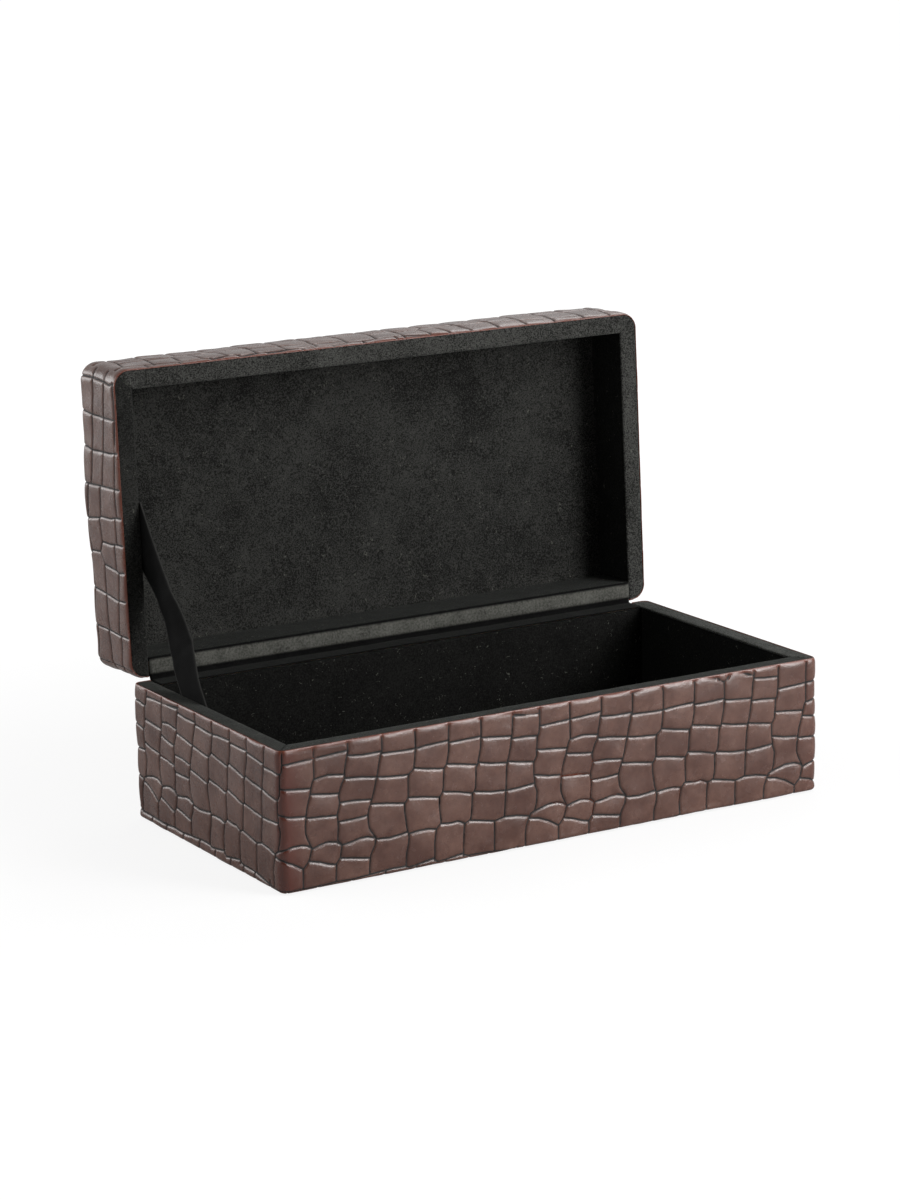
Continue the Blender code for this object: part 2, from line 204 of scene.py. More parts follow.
CROSS_SEAMS = [
    [(54.5, 0), (55.2, 15.5)],
    [(44, -2), (43.2, 6), (42.3, 14)],
    [(32.8, -3.5), (31.3, 3.5), (30.5, 11)],
    [(15.5, -5.5), (16.8, -2.2), (18.2, 3.7), (18.2, 8.7), (17.4, 11.5), (16, 13.5)],
    [(13.5, -6.5), (12.7, -1.3), (10.7, 3.7), (8.8, 7), (7.5, 9)],
    [(55.2, 15.5), (56.2, 32)],
    [(46, 15.5), (46.5, 18), (47, 22), (46.5, 26), (46, 30)],
    [(39.8, 13.5), (38.8, 20.5), (38, 27.3)],
    [(29.7, 11), (29.3, 18.5), (28.5, 26)],
    [(15.7, 13.5), (16.8, 17), (17.5, 21), (16.8, 25.3), (15, 28)],
    [(10.5, 12), (9.3, 17), (7.7, 21.2), (6.8, 25)],
    [(54, 31.7), (53.3, 38.5), (53.2, 48.5)],
    [(44.3, 30), (43.7, 37), (42.3, 45.5)],
    [(33.8, 27.5), (33.7, 34.5), (32.7, 43)],
    [(25.5, 26.3), (25.5, 33.5), (26, 41)],
    [(15, 28), (15.5, 32), (16.5, 37), (16.5, 40.3), (15.3, 44.5)],
    [(9.3, 27), (8.2, 33.7), (6.8, 41.5)],
    [(62, 48.5), (62.7, 53.5), (64.3, 62), (64.6, 64)],
    [(52.3, 48), (52, 55.5), (51.7, 65)],
    [(42.2, 45.5), (41.3, 53.5), (40.7, 61.3)],
    [(30.7, 42.5), (29.7, 50.5), (28.3, 59.2)],
    [(14.8, 44.5), (14.2, 51), (14.5, 55.5), (15.2, 60.5)],
    [(51.7, 65), (52.3, 70.5), (52.7, 81.5)],
    [(43.2, 64), (41.8, 70.5), (40.5, 79)],
    [(30.5, 61), (29.5, 68.5), (28, 76.5)],
    [(14.2, 61), (14.8, 65.5), (14.8, 70.5), (14, 74.5)],
    [(51.7, 81.5), (51.7, 87), (52, 98)],
    [(42.2, 80.5), (41.2, 87), (39.5, 96)],
    [(30.2, 78), (29, 85.5), (27, 93)],
    [(16, 77), (15.5, 82), (15.7, 85.5), (14, 89)],
    [(51.3, 98), (50.7, 103.5), (49.7, 113.3)],
    [(40.5, 96.3), (39.2, 102), (38, 111)],
    [(27.7, 94), (26.3, 102), (25.7, 110)],
    [(15, 91.5), (14, 97), (12.5, 104)],
    [(48.5, 113), (48.3, 120.5), (47.6, 126.5)],
    [(38.5, 111), (37.3, 117), (36.2, 124.5)],
    [(25.5, 110), (25.8, 117), (26.3, 124.5)],
    [(12.5, 104), (13.7, 109), (13.2, 115.5), (11.8, 122)],
    [(58.9, 114.5), (58.2, 120.5), (57.8, 127.8)],
    [(62.8, 107), (61.5, 111), (60.3, 114.5)],
    [(63.3, 65), (64.2, 73), (62.6, 82)],
    [(62.2, 82), (63.4, 86), (62, 93.5)],
    [(73, 17), (71.5, 33.3)],
    [(71, 33.3), (69, 49.5)],
    [(69, 49.5), (67, 64.3)],
    [(66, 102.3), (64.5, 115)],
    [(64, 115), (65, 129.5)],
    [(-1.2, -8.5), (-1.4, 0), (-1.2, 8.5), (-1.5, 16), (-0.9, 24.5), (-1.2, 33), (-0.6, 41), (0.2, 52),
     (0, 59), (-0.8, 60.5), (1, 73), (-1.2, 75), (0.6, 87), (-0.8, 90), (-1.2, 103.5), (-2.6, 112),
     (-3.7, 119.5)],
]

# The seams on the lid's left side: distance from the hinge and height above the rim, in millimetres.
LEFT_SEAMS = [
    [(-8, 8), (4.5, 9), (19, 8.2)],
    [(20, 10), (36, 7.8)],
    [(36.3, 7.5), (49, 6.2)],
    [(50, 8.3), (61.3, 9.3)],
    [(61.8, 6.5), (74, 7.2)],
    [(74.2, 4.8), (87.5, 5.4), (103.5, 3.2), (119, 1.2), (136, 2)],
    [(-8, 18), (4.5, 20.2), (20.3, 21.3)],
    [(20.5, 20), (37.5, 21.3), (51.3, 20.5)],
    [(51.3, 20.5), (56.7, 24.2), (61.7, 21.3), (72.5, 23.3)],
    [(73.3, 21.3), (87.5, 20.2)],
    [(87.5, 18), (103, 15.5)],
    [(103.5, 15.5), (119.2, 12.7)],
    [(119.6, 12.7), (135.5, 10.8), (150, 12)],
    [(-8, 30), (5, 33.8), (21.3, 32.7)],
    [(23.3, 35), (38.7, 33), (54.2, 36)],
    [(56.3, 32.5), (70.8, 36)],
    [(71.7, 33.8), (87.5, 31)],
    [(88, 28), (103.3, 26.3)],
    [(104, 26), (119.8, 24.7)],
    [(120.3, 23.8), (136.5, 22.2), (150, 25)],
    [(3.3, 0), (4.7, 9), (4.2, 20), (5, 33.8), (7.5, 44)],
    [(19.5, 0), (19.7, 9.5), (20.7, 20.5), (21.3, 32.7), (23.5, 44)],
    [(36.3, 0), (36, 9.5), (37.5, 21.3), (38.7, 33), (41, 44)],
    [(49.7, 0), (49, 6.3), (50, 9.7), (51.3, 20.5)],
    [(62, 0), (62, 6.3), (61.3, 13), (61.7, 21.3)],
    [(56.7, 24.2), (56.3, 32.5), (53, 39), (52.5, 44)],
    [(74.5, 0), (74.2, 7.2), (73.3, 11.5), (73.3, 21.3), (72.5, 23.3), (71.3, 33.8), (69, 44)],
    [(87.5, 0), (87.5, 20), (87.5, 31), (88, 44)],
    [(104.2, 0), (103.4, 9), (103.3, 25.5), (104.7, 34), (105.5, 44)],
    [(119.2, 0), (119.2, 13.8), (119.7, 24), (121.3, 38), (121.5, 44)],
    [(135.8, 0), (134.7, 5.5), (135.8, 10.5), (137, 23.8), (137, 44)],
]

REPEAT_RIGHT = np.array([128.0, -2.67])
REPEAT_UP = np.array([1.66, 79.5])


def pattern_segments():
    """Starts, ends and widths of the seams of one repeat and of what its neighbours lend to its margins."""
    pieces = []
    for seams, width in ((COLUMN_SEAMS, 0.85), (CROSS_SEAMS, 1.0)):
        for seam in seams:
            points = np.array(seam, float)[:, ::-1]
            pieces += [(*a, *b, width) for a, b in zip(points[:-1], points[1:])]
    pieces = np.array(pieces)
    basis = np.linalg.inv(np.stack([REPEAT_RIGHT, REPEAT_UP], 1))
    copies = []
    for i in (-1, 0, 1):
        for j in (-1, 0, 1):
            moved = pieces.copy()
            shift = i * REPEAT_RIGHT + j * REPEAT_UP
            moved[:, 0:2] += shift
            moved[:, 2:4] += shift
            copies.append(moved)
    copies = np.concatenate(copies)
    middles = (copies[:, 0:2] + copies[:, 2:4]) / 2 @ basis.T
    near = (middles > -0.16).all(1) & (middles < 1.16).all(1)
    return copies[near], basis


SEGMENTS, BASIS = pattern_segments()


def nearest_seam(places, segments=None):
    """For places (u, h): the distance to the nearest seam, in seam widths, and the step to it."""
    folded = places
    if segments is None:
        segments = SEGMENTS
        folded = places - np.floor(places @ BASIS.T) @ np.stack([REPEAT_RIGHT, REPEAT_UP])
    start = segments[:, 0:2].astype(np.float32)
    along = (segments[:, 2:4] - segments[:, 0:2]).astype(np.float32)
    squared = (along**2).sum(1)
    width = segments[:, 4].astype(np.float32)
    distances, steps = np.empty(len(places)), np.empty((len(places), 2))
    for first in range(0, len(places), 8192):
        part = folded[first : first + 8192].astype(np.float32)
        away = part[:, None] - start
        share = np.clip((away * along).sum(2) / squared, 0, 1)
        away -= share[:, :, None] * along
        gap = np.sqrt((away**2).sum(2)) / width
        best = gap.argmin(1)
        rows = np.arange(len(part))
        distances[first : first + 8192] = gap[rows, best]
        steps[first : first + 8192] = -away[rows, best]
    return distances, steps


# Depth in metres and reach in millimetres of a seam's cut and shoulder, and of the cells' rounding.
CUT, SHOULDER, ROUNDING = (0.00026, 0.32), (0.00030, 0.66), (0.00032, 2.2)


def emboss(distance):
    """How far the surface lies below its full height, in metres, at this distance from a seam."""
    cut = CUT[0] * np.exp(-((distance / CUT[1]) ** 2))
    shoulder = SHOULDER[0] * np.exp(-((distance / SHOULDER[1]) ** 2))
    return cut + shoulder + ROUNDING[0] * np.exp(-distance / ROUNDING[1])


# Leather


class Ring:
    """Columns round a box with rounded corners, from the middle of the back over the left side."""

    def __init__(self, corner, front_left_length=None):
        self.corner = corner
        flat_x, flat_y, arc = HALF_WIDTH - corner, HALF_DEPTH - corner, math.pi / 2 * corner
        half_flat, deep_flat = round(flat_x / STEP), round(2 * flat_y / STEP)
        turn = 2 * round(arc / STEP / 2)
        spans = [
            (half_flat, flat_x, lambda t: (-t, 1, 0, 1)),
            (turn, arc, self.corner_at(-1, 1, 90)),
            (deep_flat, 2 * flat_y, lambda t: (-1, 1 - 2 * t, -1, 0)),
            (turn, front_left_length or arc, self.corner_at(-1, -1, 180)),
            (2 * half_flat, 2 * flat_x, lambda t: (2 * t - 1, -1, 0, -1)),
            (turn, arc, self.corner_at(1, -1, 270)),
            (deep_flat, 2 * flat_y, lambda t: (1, 2 * t - 1, 1, 0)),
            (turn, arc, self.corner_at(1, 1, 0)),
            (half_flat, flat_x, lambda t: (1 - t, 1, 0, 1)),
        ]
        rows, places, place = [], [], 0.0
        for number, (count, length, at) in enumerate(spans):
            if number == 4:
                front_start = place
            rows += [at(k / count) for k in range(count)]
            places += [place + length * k / count for k in range(count)]
            place += length
        table = np.array(rows)
        self.side, self.normal = table[:, :2], table[:, 2:]
        self.along = (np.array(places) - front_start + corner) * 1000
        self.count = len(rows)
        self.wide, self.deep = 2 * half_flat + turn, deep_flat + turn
        flat = np.zeros(self.count)
        self.tangent = np.stack([-self.normal[:, 1], self.normal[:, 0], flat], 1)
        self.outer = self.at(0)

    @staticmethod
    def corner_at(sx, sy, first):
        def at(share):
            angle = math.radians(first + 90 * share)
            return sx, sy, math.cos(angle), math.sin(angle)
        return at

    def at(self, offset, smallest=0.0006):
        """Points of the outline that lies this far inside the outer one."""
        radius = max(self.corner - offset, smallest)
        reach = np.array([HALF_WIDTH - offset - radius, HALF_DEPTH - offset - radius])
        return self.side * reach + radius * self.normal

    def squared(self, offset):
        """The same columns, spread evenly over the sides of a rectangle with sharp corners."""
        wide, deep = self.wide, self.deep
        k = (np.arange(self.count) + wide // 2) % self.count
        half_x, half_y = HALF_WIDTH - offset, HALF_DEPTH - offset
        sides = [k < wide, k < wide + deep, k < 2 * wide + deep]
        x = np.select(sides, [half_x - 2 * half_x * k / wide, -half_x,
                              2 * half_x * (k - wide - deep) / wide - half_x], half_x)
        y = np.select(sides, [half_y, half_y - 2 * half_y * (k - wide) / deep, -half_y],
                      2 * half_y * (k - 2 * wide - deep) / deep - half_y)
        return np.stack([x, y], 1), k

    def row(self, offset, height, round_share=1.0):
        outline = self.at(offset)
        if round_share < 1:
            outline = round_share * outline + (1 - round_share) * self.squared(offset)[0]
        return np.concatenate([outline, np.broadcast_to(height, self.count)[:, None]], 1)

    def notch(self):
        """1 where the hinge cloth crosses the back edge, 0 elsewhere."""
        inside = np.clip((HALF_WIDTH - WALL - np.abs(self.outer[:, 0])) / 0.0008 + 0.5, 0, 1)
        return np.where(self.normal[:, 1] > 0.9, inside, 0)

    def back_joint(self):
        """Distance, in millimetres, from the joint of the leather in the middle of the back."""
        away = np.abs(self.outer[:, 0]) * 1000
        return np.where(self.normal[:, 1] > 0.9, away, 99)


def unit(vectors):
    return vectors / (np.linalg.norm(vectors, axis=-1, keepdims=True) + 1e-12)


def quarter(count):
    """Sine and cosine over a quarter turn."""
    for k in range(count + 1):
        yield math.sin(math.pi / 2 * k / count), math.cos(math.pi / 2 * k / count)


def press(points, tangent, slope, places, weight, joint, sign, left=None):
    """Presses the seams into rows of points, and gives the new points and how dark each is painted in a seam:
    the groove's own darker tone together with painted shade.
    The pattern's u runs along tangent and its h along slope, both turned round where sign is -1. Where
    left is given, its places that aren't NaN take the lid's left side's own seams."""
    shape = weight.shape
    distance, steps = nearest_seam(places.reshape(-1, 2))
    distance, steps = distance.reshape(shape), steps.reshape(*shape, 2) / 1000
    if left is not None:
        own = ~np.isnan(left[..., 0])
        segments = np.array([(*a, *b, 0.9) for seam in LEFT_SEAMS for a, b in zip(seam[:-1], seam[1:])])
        distance[own], own_steps = nearest_seam(left[own], segments)
        steps[own] = own_steps / -1000
    close = (np.hypot(steps[..., 0], steps[..., 1]) < 0.52 * STEP) & (weight > 0.7) & (joint > 2)
    steps = np.where(close[..., None], steps, 0) * sign
    distance = np.where(close, 0, distance)
    normal = unit(np.cross(tangent, slope))
    flat = points.reshape(-1, 3)
    wave = sum(ripple(flat, length, seed) * height for length, seed, height in LEATHER_WAVES)
    wave = wave.reshape(shape) - WAVE_SINK
    sunk = emboss(distance) + 0.0003 * np.exp(-((joint / 0.6) ** 2))
    moved = points + steps[..., 0:1] * tangent + steps[..., 1:2] * slope
    moved = moved + ((wave - sunk) * weight)[..., None] * normal
    # Painted shade in the grooves: the seam's dark is eased off the snapped points just below a seam, the lit
    # lower lip, and kept above it, in the groove's shade.
    shaded = np.maximum(distance + 0.15 * np.clip(steps[..., 1] * 2500, -1, 1), 0)
    seam = np.maximum(np.exp(-((shaded / 0.44) ** 2)), np.exp(-((joint / 0.5) ** 2)))
    return moved, seam * np.clip(weight * 1.6, 0, 1)


def leather_base(material):
    ring = Ring(BASE_CORNER, 0.0067)
    top = BASE_HEIGHT - NOTCH * ring.notch()
    foot = FOOT + BASE_EDGE
    rows = [ring.row(LIP_WIDTH * (1 - s), top - LIP_HEIGHT * (1 - c)) for s, c in quarter(8)]
    heights = [BASE_HEIGHT * 1000 - k * 0.3 for k in range(9)]
    count = round((BASE_HEIGHT - LIP_HEIGHT - foot) / STEP)
    for k in range(1, count + 1):
        rows.append(ring.row(0, (top - LIP_HEIGHT) * (1 - k / count) + foot * k / count))
        heights.append(((BASE_HEIGHT - LIP_HEIGHT) * (1 - k / count) + foot * k / count) * 1000)
    for k, (s, c) in enumerate(list(quarter(6))[1:], 1):
        rows.append(ring.row(BASE_EDGE * (1 - c), foot - BASE_EDGE * s))
        heights.append((foot - math.pi / 2 * BASE_EDGE * k / 6) * 1000)
    last = heights[-1]
    for k in range(1, 11):
        rows.append(ring.row(BASE_EDGE + (TURN_IN - BASE_EDGE) * k / 10, FOOT))
        heights.append(last - k)
    outer = np.array(rows)
    weight = np.ones(outer.shape[:2])
    weight[:6] = RIM_WEIGHTS[:, None]
    weight = weight * np.clip(0.35 + (outer[..., 2] - FOOT) / 0.005, 0, 1)
    weight[-1] = 0
    places = np.stack(np.broadcast_arrays(ring.along[None] - 129.7, np.array(heights)[:, None]), -1)
    joint = np.broadcast_to(ring.back_joint(), weight.shape)
    slope = -unit(np.gradient(outer, axis=0))
    moved, seam = press(outer, ring.tangent[None], slope, places, weight, joint, 1)
    inner_rows = [(TURN_IN, FOOT + INNER), (TURN_IN / 2, FOOT + INNER), (INNER, FOOT + INNER),
                  (INNER, top - INNER_TOP)]
    inner = np.array([ring.row(offset, height) for offset, height in inner_rows])
    points = np.concatenate([moved, inner])
    edge = np.zeros(points.shape[:2])
    edge[:6] = RIM_EDGES[:, None]
    edge[len(moved):] = 1
    # Painted shade and missing reflection at the vertical corners: a dark red band, strongest at the
    # front-left corner.
    corner = np.array([HALF_WIDTH, HALF_DEPTH]) - 0.3 * BASE_CORNER
    away = np.linalg.norm(np.abs(ring.outer) - corner, axis=1)
    reach = np.where(np.abs(ring.normal[:, 0]) > 0.8, 0.005, 0.012)
    share = np.where((ring.outer < 0).all(1), 0.85, 0.25)
    painted_corner_shade = np.broadcast_to(share * np.clip((reach - away) / (0.75 * reach), 0, 1), edge.shape)
    index = np.arange(edge.size).reshape(edge.shape)
    quads = grid_quads(index, closed_rows=True, closed_columns=True)
    seam = np.concatenate([seam, np.zeros(inner.shape[:2])])
    attributes = {"seam": seam.ravel(), "edge": edge.ravel(), "painted_corner_shade": painted_corner_shade.ravel()}
    make_piece("base_leather", points.reshape(-1, 3), quads, material, "base",
               ["base_leather_wrap"], attributes=attributes)


def swell(points):
    """How the padded lid's leather stands out, in the closed lid's frame."""
    x, y = points[..., 0], points[..., 1]
    up = (points[..., 2] - LID_RIM) / LID_HEIGHT
    crown = np.clip(1 - np.abs(x / HALF_WIDTH) ** 5, 0, 1) * np.clip(1 - np.abs(y / HALF_DEPTH) ** 5, 0, 1)
    high = np.clip(up, 0, 1) ** 3
    from_hinge = HALF_DEPTH - y
    bump = np.exp(-(((from_hinge - 0.078) / 0.026) ** 2)) * np.clip((-x - 0.120) / 0.020, 0, 1)
    out = np.zeros_like(points)
    out[..., 0] = -0.0016 * bump * np.clip(up, 0, 1) ** 2
    front = np.clip((-y - HALF_DEPTH + LID_EDGE) / LID_EDGE, 0, 1)
    front = front * np.clip(1 - (x / HALF_WIDTH) ** 4, 0, 1)
    out[..., 1] = -0.0013 * front * np.sin(math.pi * np.clip(up, 0, 1)) ** 0.7
    out[..., 2] = (0.0014 * crown + 0.0005 * bump) * high
    return out


def left_places(ring, up, rows):
    """Distance from the hinge and height above the rim on the lid's left side, NaN elsewhere."""
    side = (ring.normal[:, 0] < -0.5) | ((ring.normal[:, 0] < -0.2) & (ring.normal[:, 1] > 0))
    straight = (1 - ring.side[:, 1]) * (HALF_DEPTH - LID_CORNER) * 1000
    turned = LID_CORNER * 1000 * (1 - np.arcsin(np.clip(ring.normal[:, 1], -1, 1)))
    places = np.full((rows, ring.count, 2), np.nan)
    places[: len(up), side, 0] = (straight + turned)[side]
    places[: len(up), side, 1] = np.array(up)[:, None]
    return places


def leather_lid(material):
    ring = Ring(LID_CORNER)
    rim = LID_RIM + NOTCH * ring.notch()
    top = LID_RIM + LID_HEIGHT
    shoulder = top - LID_EDGE
    rows = [ring.row(LIP_WIDTH * (1 - s), rim + LIP_HEIGHT * (1 - c)) for s, c in quarter(8)]
    up = [k * 0.3 for k in range(9)]
    count = round((shoulder - LID_RIM - LIP_HEIGHT) / STEP)
    for k in range(1, count + 1):
        rows.append(ring.row(0, (rim + LIP_HEIGHT) * (1 - k / count) + shoulder * k / count))
        up.append((LIP_HEIGHT * (1 - k / count) + (shoulder - LID_RIM) * k / count) * 1000)
    turns = round(math.pi / 2 * LID_EDGE / STEP)
    for k, (s, c) in enumerate(list(quarter(turns))[1:], 1):
        rows.append(ring.row(LID_EDGE * (1 - c), shoulder + LID_EDGE * s))
        up.append((shoulder - LID_RIM + math.pi / 2 * LID_EDGE * k / turns) * 1000)
    side_count = len(rows)
    reach = 0.012
    count = round((reach - LID_EDGE) / STEP)
    for k in range(1, count + 1):
        t = k / count
        rows.append(ring.row(LID_EDGE + (reach - LID_EDGE) * t, top, 1 - t * t * (3 - 2 * t)))
    outer = np.array(rows)
    weight = np.ones(outer.shape[:2])
    weight[:6] = RIM_WEIGHTS[:, None]
    last_up = up[-1]

    def top_places(points):
        return np.stack([-128 - points[..., 0] * 1000,
                         84.3 - last_up - (points[..., 1] + HALF_DEPTH - LID_EDGE) * 1000], -1)

    places = top_places(outer)
    sides = np.broadcast_arrays(12 - ring.along[None], 84.3 - np.array(up)[:, None])
    places[:side_count] = np.stack(sides, -1)
    joint = np.broadcast_to(ring.back_joint(), weight.shape).copy()
    joint[side_count:] = 99
    over = np.where(ring.normal[:, 1] < -0.99, 99, 0.0)
    away = np.abs(np.arange(len(outer)) - side_count - 1)[:, None] * STEP * 1000
    joint = np.minimum(joint, away + over[None])
    tangent = np.broadcast_to(ring.tangent[None], outer.shape).copy()
    slope = unit(np.gradient(outer, axis=0))
    tangent[side_count:], slope[side_count:] = (1, 0, 0), (0, 1, 0)
    standing = outer + swell(outer)
    left = left_places(ring, up, len(outer))
    moved, seam = press(standing, tangent, slope, places, weight, joint, -1, left)

    wide, deep = ring.wide, ring.deep
    half_x, half_y = HALF_WIDTH - reach, HALF_DEPTH - reach
    xs = np.linspace(half_x, -half_x, wide + 1)[1:-1]
    ys = np.linspace(half_y, -half_y, deep + 1)[1:-1]
    inside = np.stack([*np.meshgrid(xs, ys), np.full((deep - 1, wide - 1), top)], -1)
    flat_x, flat_y = np.zeros_like(inside), np.zeros_like(inside)
    flat_x[..., 0] = flat_y[..., 1] = 1
    filled, filled_seam = press(inside + swell(inside), flat_x, flat_y, top_places(inside),
                                np.ones(inside.shape[:2]), np.full(inside.shape[:2], 99.0), -1)

    inner_rows = [(LID_EDGE, top - INNER), (INNER + 0.0011, top - INNER - 0.0011), (INNER, shoulder),
                  (INNER, rim + INNER_TOP)]
    inner = np.array([ring.row(offset, height) for offset, height in inner_rows])
    shell = np.concatenate([inner, moved])
    index = np.arange(shell.shape[0] * ring.count).reshape(shell.shape[:2])
    quads = grid_quads(index, closed_columns=True)
    table = np.empty((deep + 1, wide + 1), int)
    table[1:-1, 1:-1] = index.size + np.arange(filled.shape[0] * filled.shape[1]).reshape(filled.shape[:2])
    _, order = ring.squared(reach)
    edge_ring = np.empty(ring.count, int)
    edge_ring[order] = index[-1]
    table[0] = edge_ring[: wide + 1]
    table[:, -1] = edge_ring[wide : wide + deep + 1]
    table[-1, ::-1] = edge_ring[wide + deep : 2 * wide + deep + 1]
    table[::-1, 0] = np.append(edge_ring[2 * wide + deep :], edge_ring[0])
    quads = np.concatenate([quads, grid_quads(table)])
    points = np.concatenate([shell.reshape(-1, 3), filled.reshape(-1, 3)])
    seams = np.concatenate([np.zeros(inner.shape[0] * ring.count), seam.ravel(), filled_seam.ravel()])
    edge = np.zeros(len(points))
    edge[: inner.shape[0] * ring.count] = 1
    rim_rows = np.repeat(RIM_EDGES, ring.count)
    edge[inner.shape[0] * ring.count :][: len(rim_rows)] = rim_rows
    make_piece("lid_leather", points, quads, material, "lid", ["lid_leather_wrap"],
               caps=[index[0][::-1]], attributes={"seam": seams, "edge": edge, "painted_corner_shade": 0 * edge})


# Suede, cloth and felt


def closed_box(node):
    """Lowest and highest corner of a CAD node, for the lid's nodes in the closed lid's frame."""
    obj = frame["nodes"][node]
    points = np.array([v.co for v in obj.data.vertices], float)
    if obj["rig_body"] == "lid":
        turn = np.array(OPENED.inverted())
        points = points @ turn[:3, :3].T + turn[:3, 3]
    return points.min(0), points.max(0)


def spaced(length, radius, step):
    """Places along a length, close together within the radius of either end."""
    ends = radius * np.array([0, 0.12, 0.35, 0.65, 1.0])
    middle = np.linspace(radius, length - radius, max(2, round((length - 2 * radius) / step)) + 1)
    return np.concatenate([ends[:-1], middle, length - ends[:-1][::-1]])


def drop(distance, radius, height):
    """How far a rounded edge has fallen at this distance from its end."""
    share = np.clip(1 - distance / radius, 0, 1)
    return height * (1 - np.sqrt(1 - share**2))


def outline_of(index):
    """The vertex numbers round the edge of a grid."""
    return np.concatenate([index[0, :-1], index[:-1, -1], index[-1, :0:-1], index[:0:-1, 0]])


def close_back(front, loop_points, index):
    """Quads from the edge of a front grid through further loops, and the last loop as a cap."""
    border = outline_of(index)
    points, quads, last = [front], [grid_quads(index)], border
    count = len(front)
    for loop in loop_points:
        new = np.arange(count, count + len(border))
        points.append(loop)
        quads.append(grid_quads(np.stack([new, last]), closed_columns=True))
        last, count = new, count + len(border)
    return np.concatenate(points), np.concatenate(quads), last[::-1]


def lining(node, name, facing, material, slot="suede", radius=0.0006, step=0.0016, lumps=0.00006, seed=1):
    """Suede round a card, in the place of its CAD node: rounded at the edges of the side that faces out."""
    low, high = closed_box(node)
    axis = int(np.argmax(np.abs(facing)))
    sign = facing[axis]
    a, b = [k for k in range(3) if k != axis]
    us, vs = spaced(high[a] - low[a], radius, step), spaced(high[b] - low[b], radius, step)
    u, v = np.meshgrid(us, vs)
    thickness = high[axis] - low[axis]
    edge_u, edge_v = np.minimum(u, us[-1] - u), np.minimum(v, vs[-1] - v)
    height = -drop(edge_u, radius, radius) - drop(edge_v, radius, radius)
    flat = np.stack([u, v, np.zeros_like(u)], -1).reshape(-1, 3)
    inside = (np.clip(np.minimum(edge_u, edge_v) / 0.003, 0, 1)).ravel()
    uneven = ripple(flat, 0.012, seed) * lumps + ripple(flat, 0.05, seed + 9) * lumps * 2
    height = height.ravel() + inside * uneven
    height = np.clip(height, -0.8 * thickness, 0 if slot == "felt" else 1)

    def place(u_, v_, w_):
        points = np.empty((len(u_), 3))
        points[:, a], points[:, b] = low[a] + u_, low[b] + v_
        points[:, axis] = (high[axis] if sign > 0 else low[axis]) + sign * w_
        return points

    front = place(u.ravel(), v.ravel(), height)
    index = np.arange(len(front)).reshape(u.shape)
    border = outline_of(index)
    bu, bv = u.ravel()[border], v.ravel()[border]
    cu, cv = us[-1] / 2, vs[-1] / 2
    nu, nv = cu + (bu - cu) * (1 - SUEDE / cu), cv + (bv - cv) * (1 - SUEDE / cv)
    level = np.full(len(border), -thickness)
    hollow = np.full(len(border), -SUEDE - 0.0001 - radius * 0.2)
    loops = [place(bu, bv, level), place(nu, nv, level), place(nu, nv, hollow)]
    points, quads, cap = close_back(front, loops, index)
    body = frame["nodes"][node]["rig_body"]
    return make_piece(name, points, quads, material, body, [node], caps=[cap])


def rim(node, name, side, material, seed):
    """Suede over the top of one wall, mitred where two such strips meet."""
    body = frame["nodes"][node]["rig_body"]
    behind_lip = 0.00105
    corner = (LID_CORNER if body == "lid" else BASE_CORNER) - behind_lip
    outer_x, outer_y = HALF_WIDTH - behind_lip, HALF_DEPTH - behind_lip
    inner_x, inner_y = HALF_WIDTH - WALL - 0.0001, HALF_DEPTH - WALL - 0.0001
    arc = [math.radians(45 * k / 6) for k in range(7)]

    def corner_point(sx, sy, angle):
        x = outer_x - corner + corner * math.sin(angle)
        y = outer_y - corner + corner * math.cos(angle)
        return sx * x, sy * y

    if side == "front":
        outer = [corner_point(-1, -1, t) for t in arc[::-1]] + [corner_point(1, -1, t) for t in arc]
        inner = [(-inner_x, -inner_y), (inner_x, -inner_y)]
        far_drop = 0.00045
    else:
        sx = -1 if side == "left" else 1
        back = [corner_point(sx, 1, math.pi / 2 - 2 * t) for t in arc]
        outer = [corner_point(sx, -1, math.pi / 2 - t) for t in arc[::-1]] + back
        inner = [(sx * inner_x, -inner_y), (sx * inner_x, outer_y)]
        far_drop = 0.0003
    outer, inner = np.array(outer), np.array(inner)
    lengths = np.concatenate([[0], np.cumsum(np.linalg.norm(np.diff(outer, axis=0), axis=1))])
    total = lengths[-1]
    along = spaced(total, 0.0012, 0.0014)
    outer_line = np.stack([np.interp(along, lengths, outer[:, k]) for k in (0, 1)], 1)
    inner_line = inner[0] + (inner[1] - inner[0]) * (along / total)[:, None]
    across = spaced(0.0085, 0.0011, 0.0011) / 0.0085
    plan = outer_line[:, None] * (1 - across[None, :, None]) + inner_line[:, None] * across[None, :, None]
    width = np.linalg.norm(outer_line - inner_line, axis=1)[:, None]
    from_outer, from_inner = across[None] * width, (1 - across[None]) * width
    from_start = np.broadcast_to(along[:, None] * 0.72, from_outer.shape)
    from_end = np.broadcast_to((total - along[:, None]) * 0.72, from_outer.shape)
    plan3 = np.concatenate([plan, np.zeros((*plan.shape[:2], 1))], -1).reshape(-1, 3)
    height = 0.0002 * np.sin(math.pi * across)[None] * np.ones_like(from_outer)
    height = height - drop(from_outer, 0.0007, 0.0004) - drop(from_inner, 0.0012, 0.0006)
    height = height - drop(from_start, 0.0009, 0.00045) - drop(from_end, 0.0009, far_drop)
    lumps = ripple(plan3, 0.009, seed) * 0.00007 + ripple(plan3, 0.03, seed + 5) * 0.00010
    inside = np.clip(np.minimum(from_outer, from_inner) / 0.0015, 0, 1)
    height = height + lumps.reshape(height.shape) * inside
    low, high = closed_box(node)
    if body == "base":
        z, sign = high[2], 1
    else:
        z, sign = low[2], -1
    front = np.concatenate([plan, (z + sign * height)[..., None]], -1).reshape(-1, 3)
    index = np.arange(len(front)).reshape(plan.shape[:2])
    border = outline_of(index)
    under = front[border].copy()
    under[:, 2] = z - sign * RIM_SUEDE
    points, quads, cap = close_back(front, [under], index)
    return make_piece(name, points, quads, material, body, [node], caps=[cap])


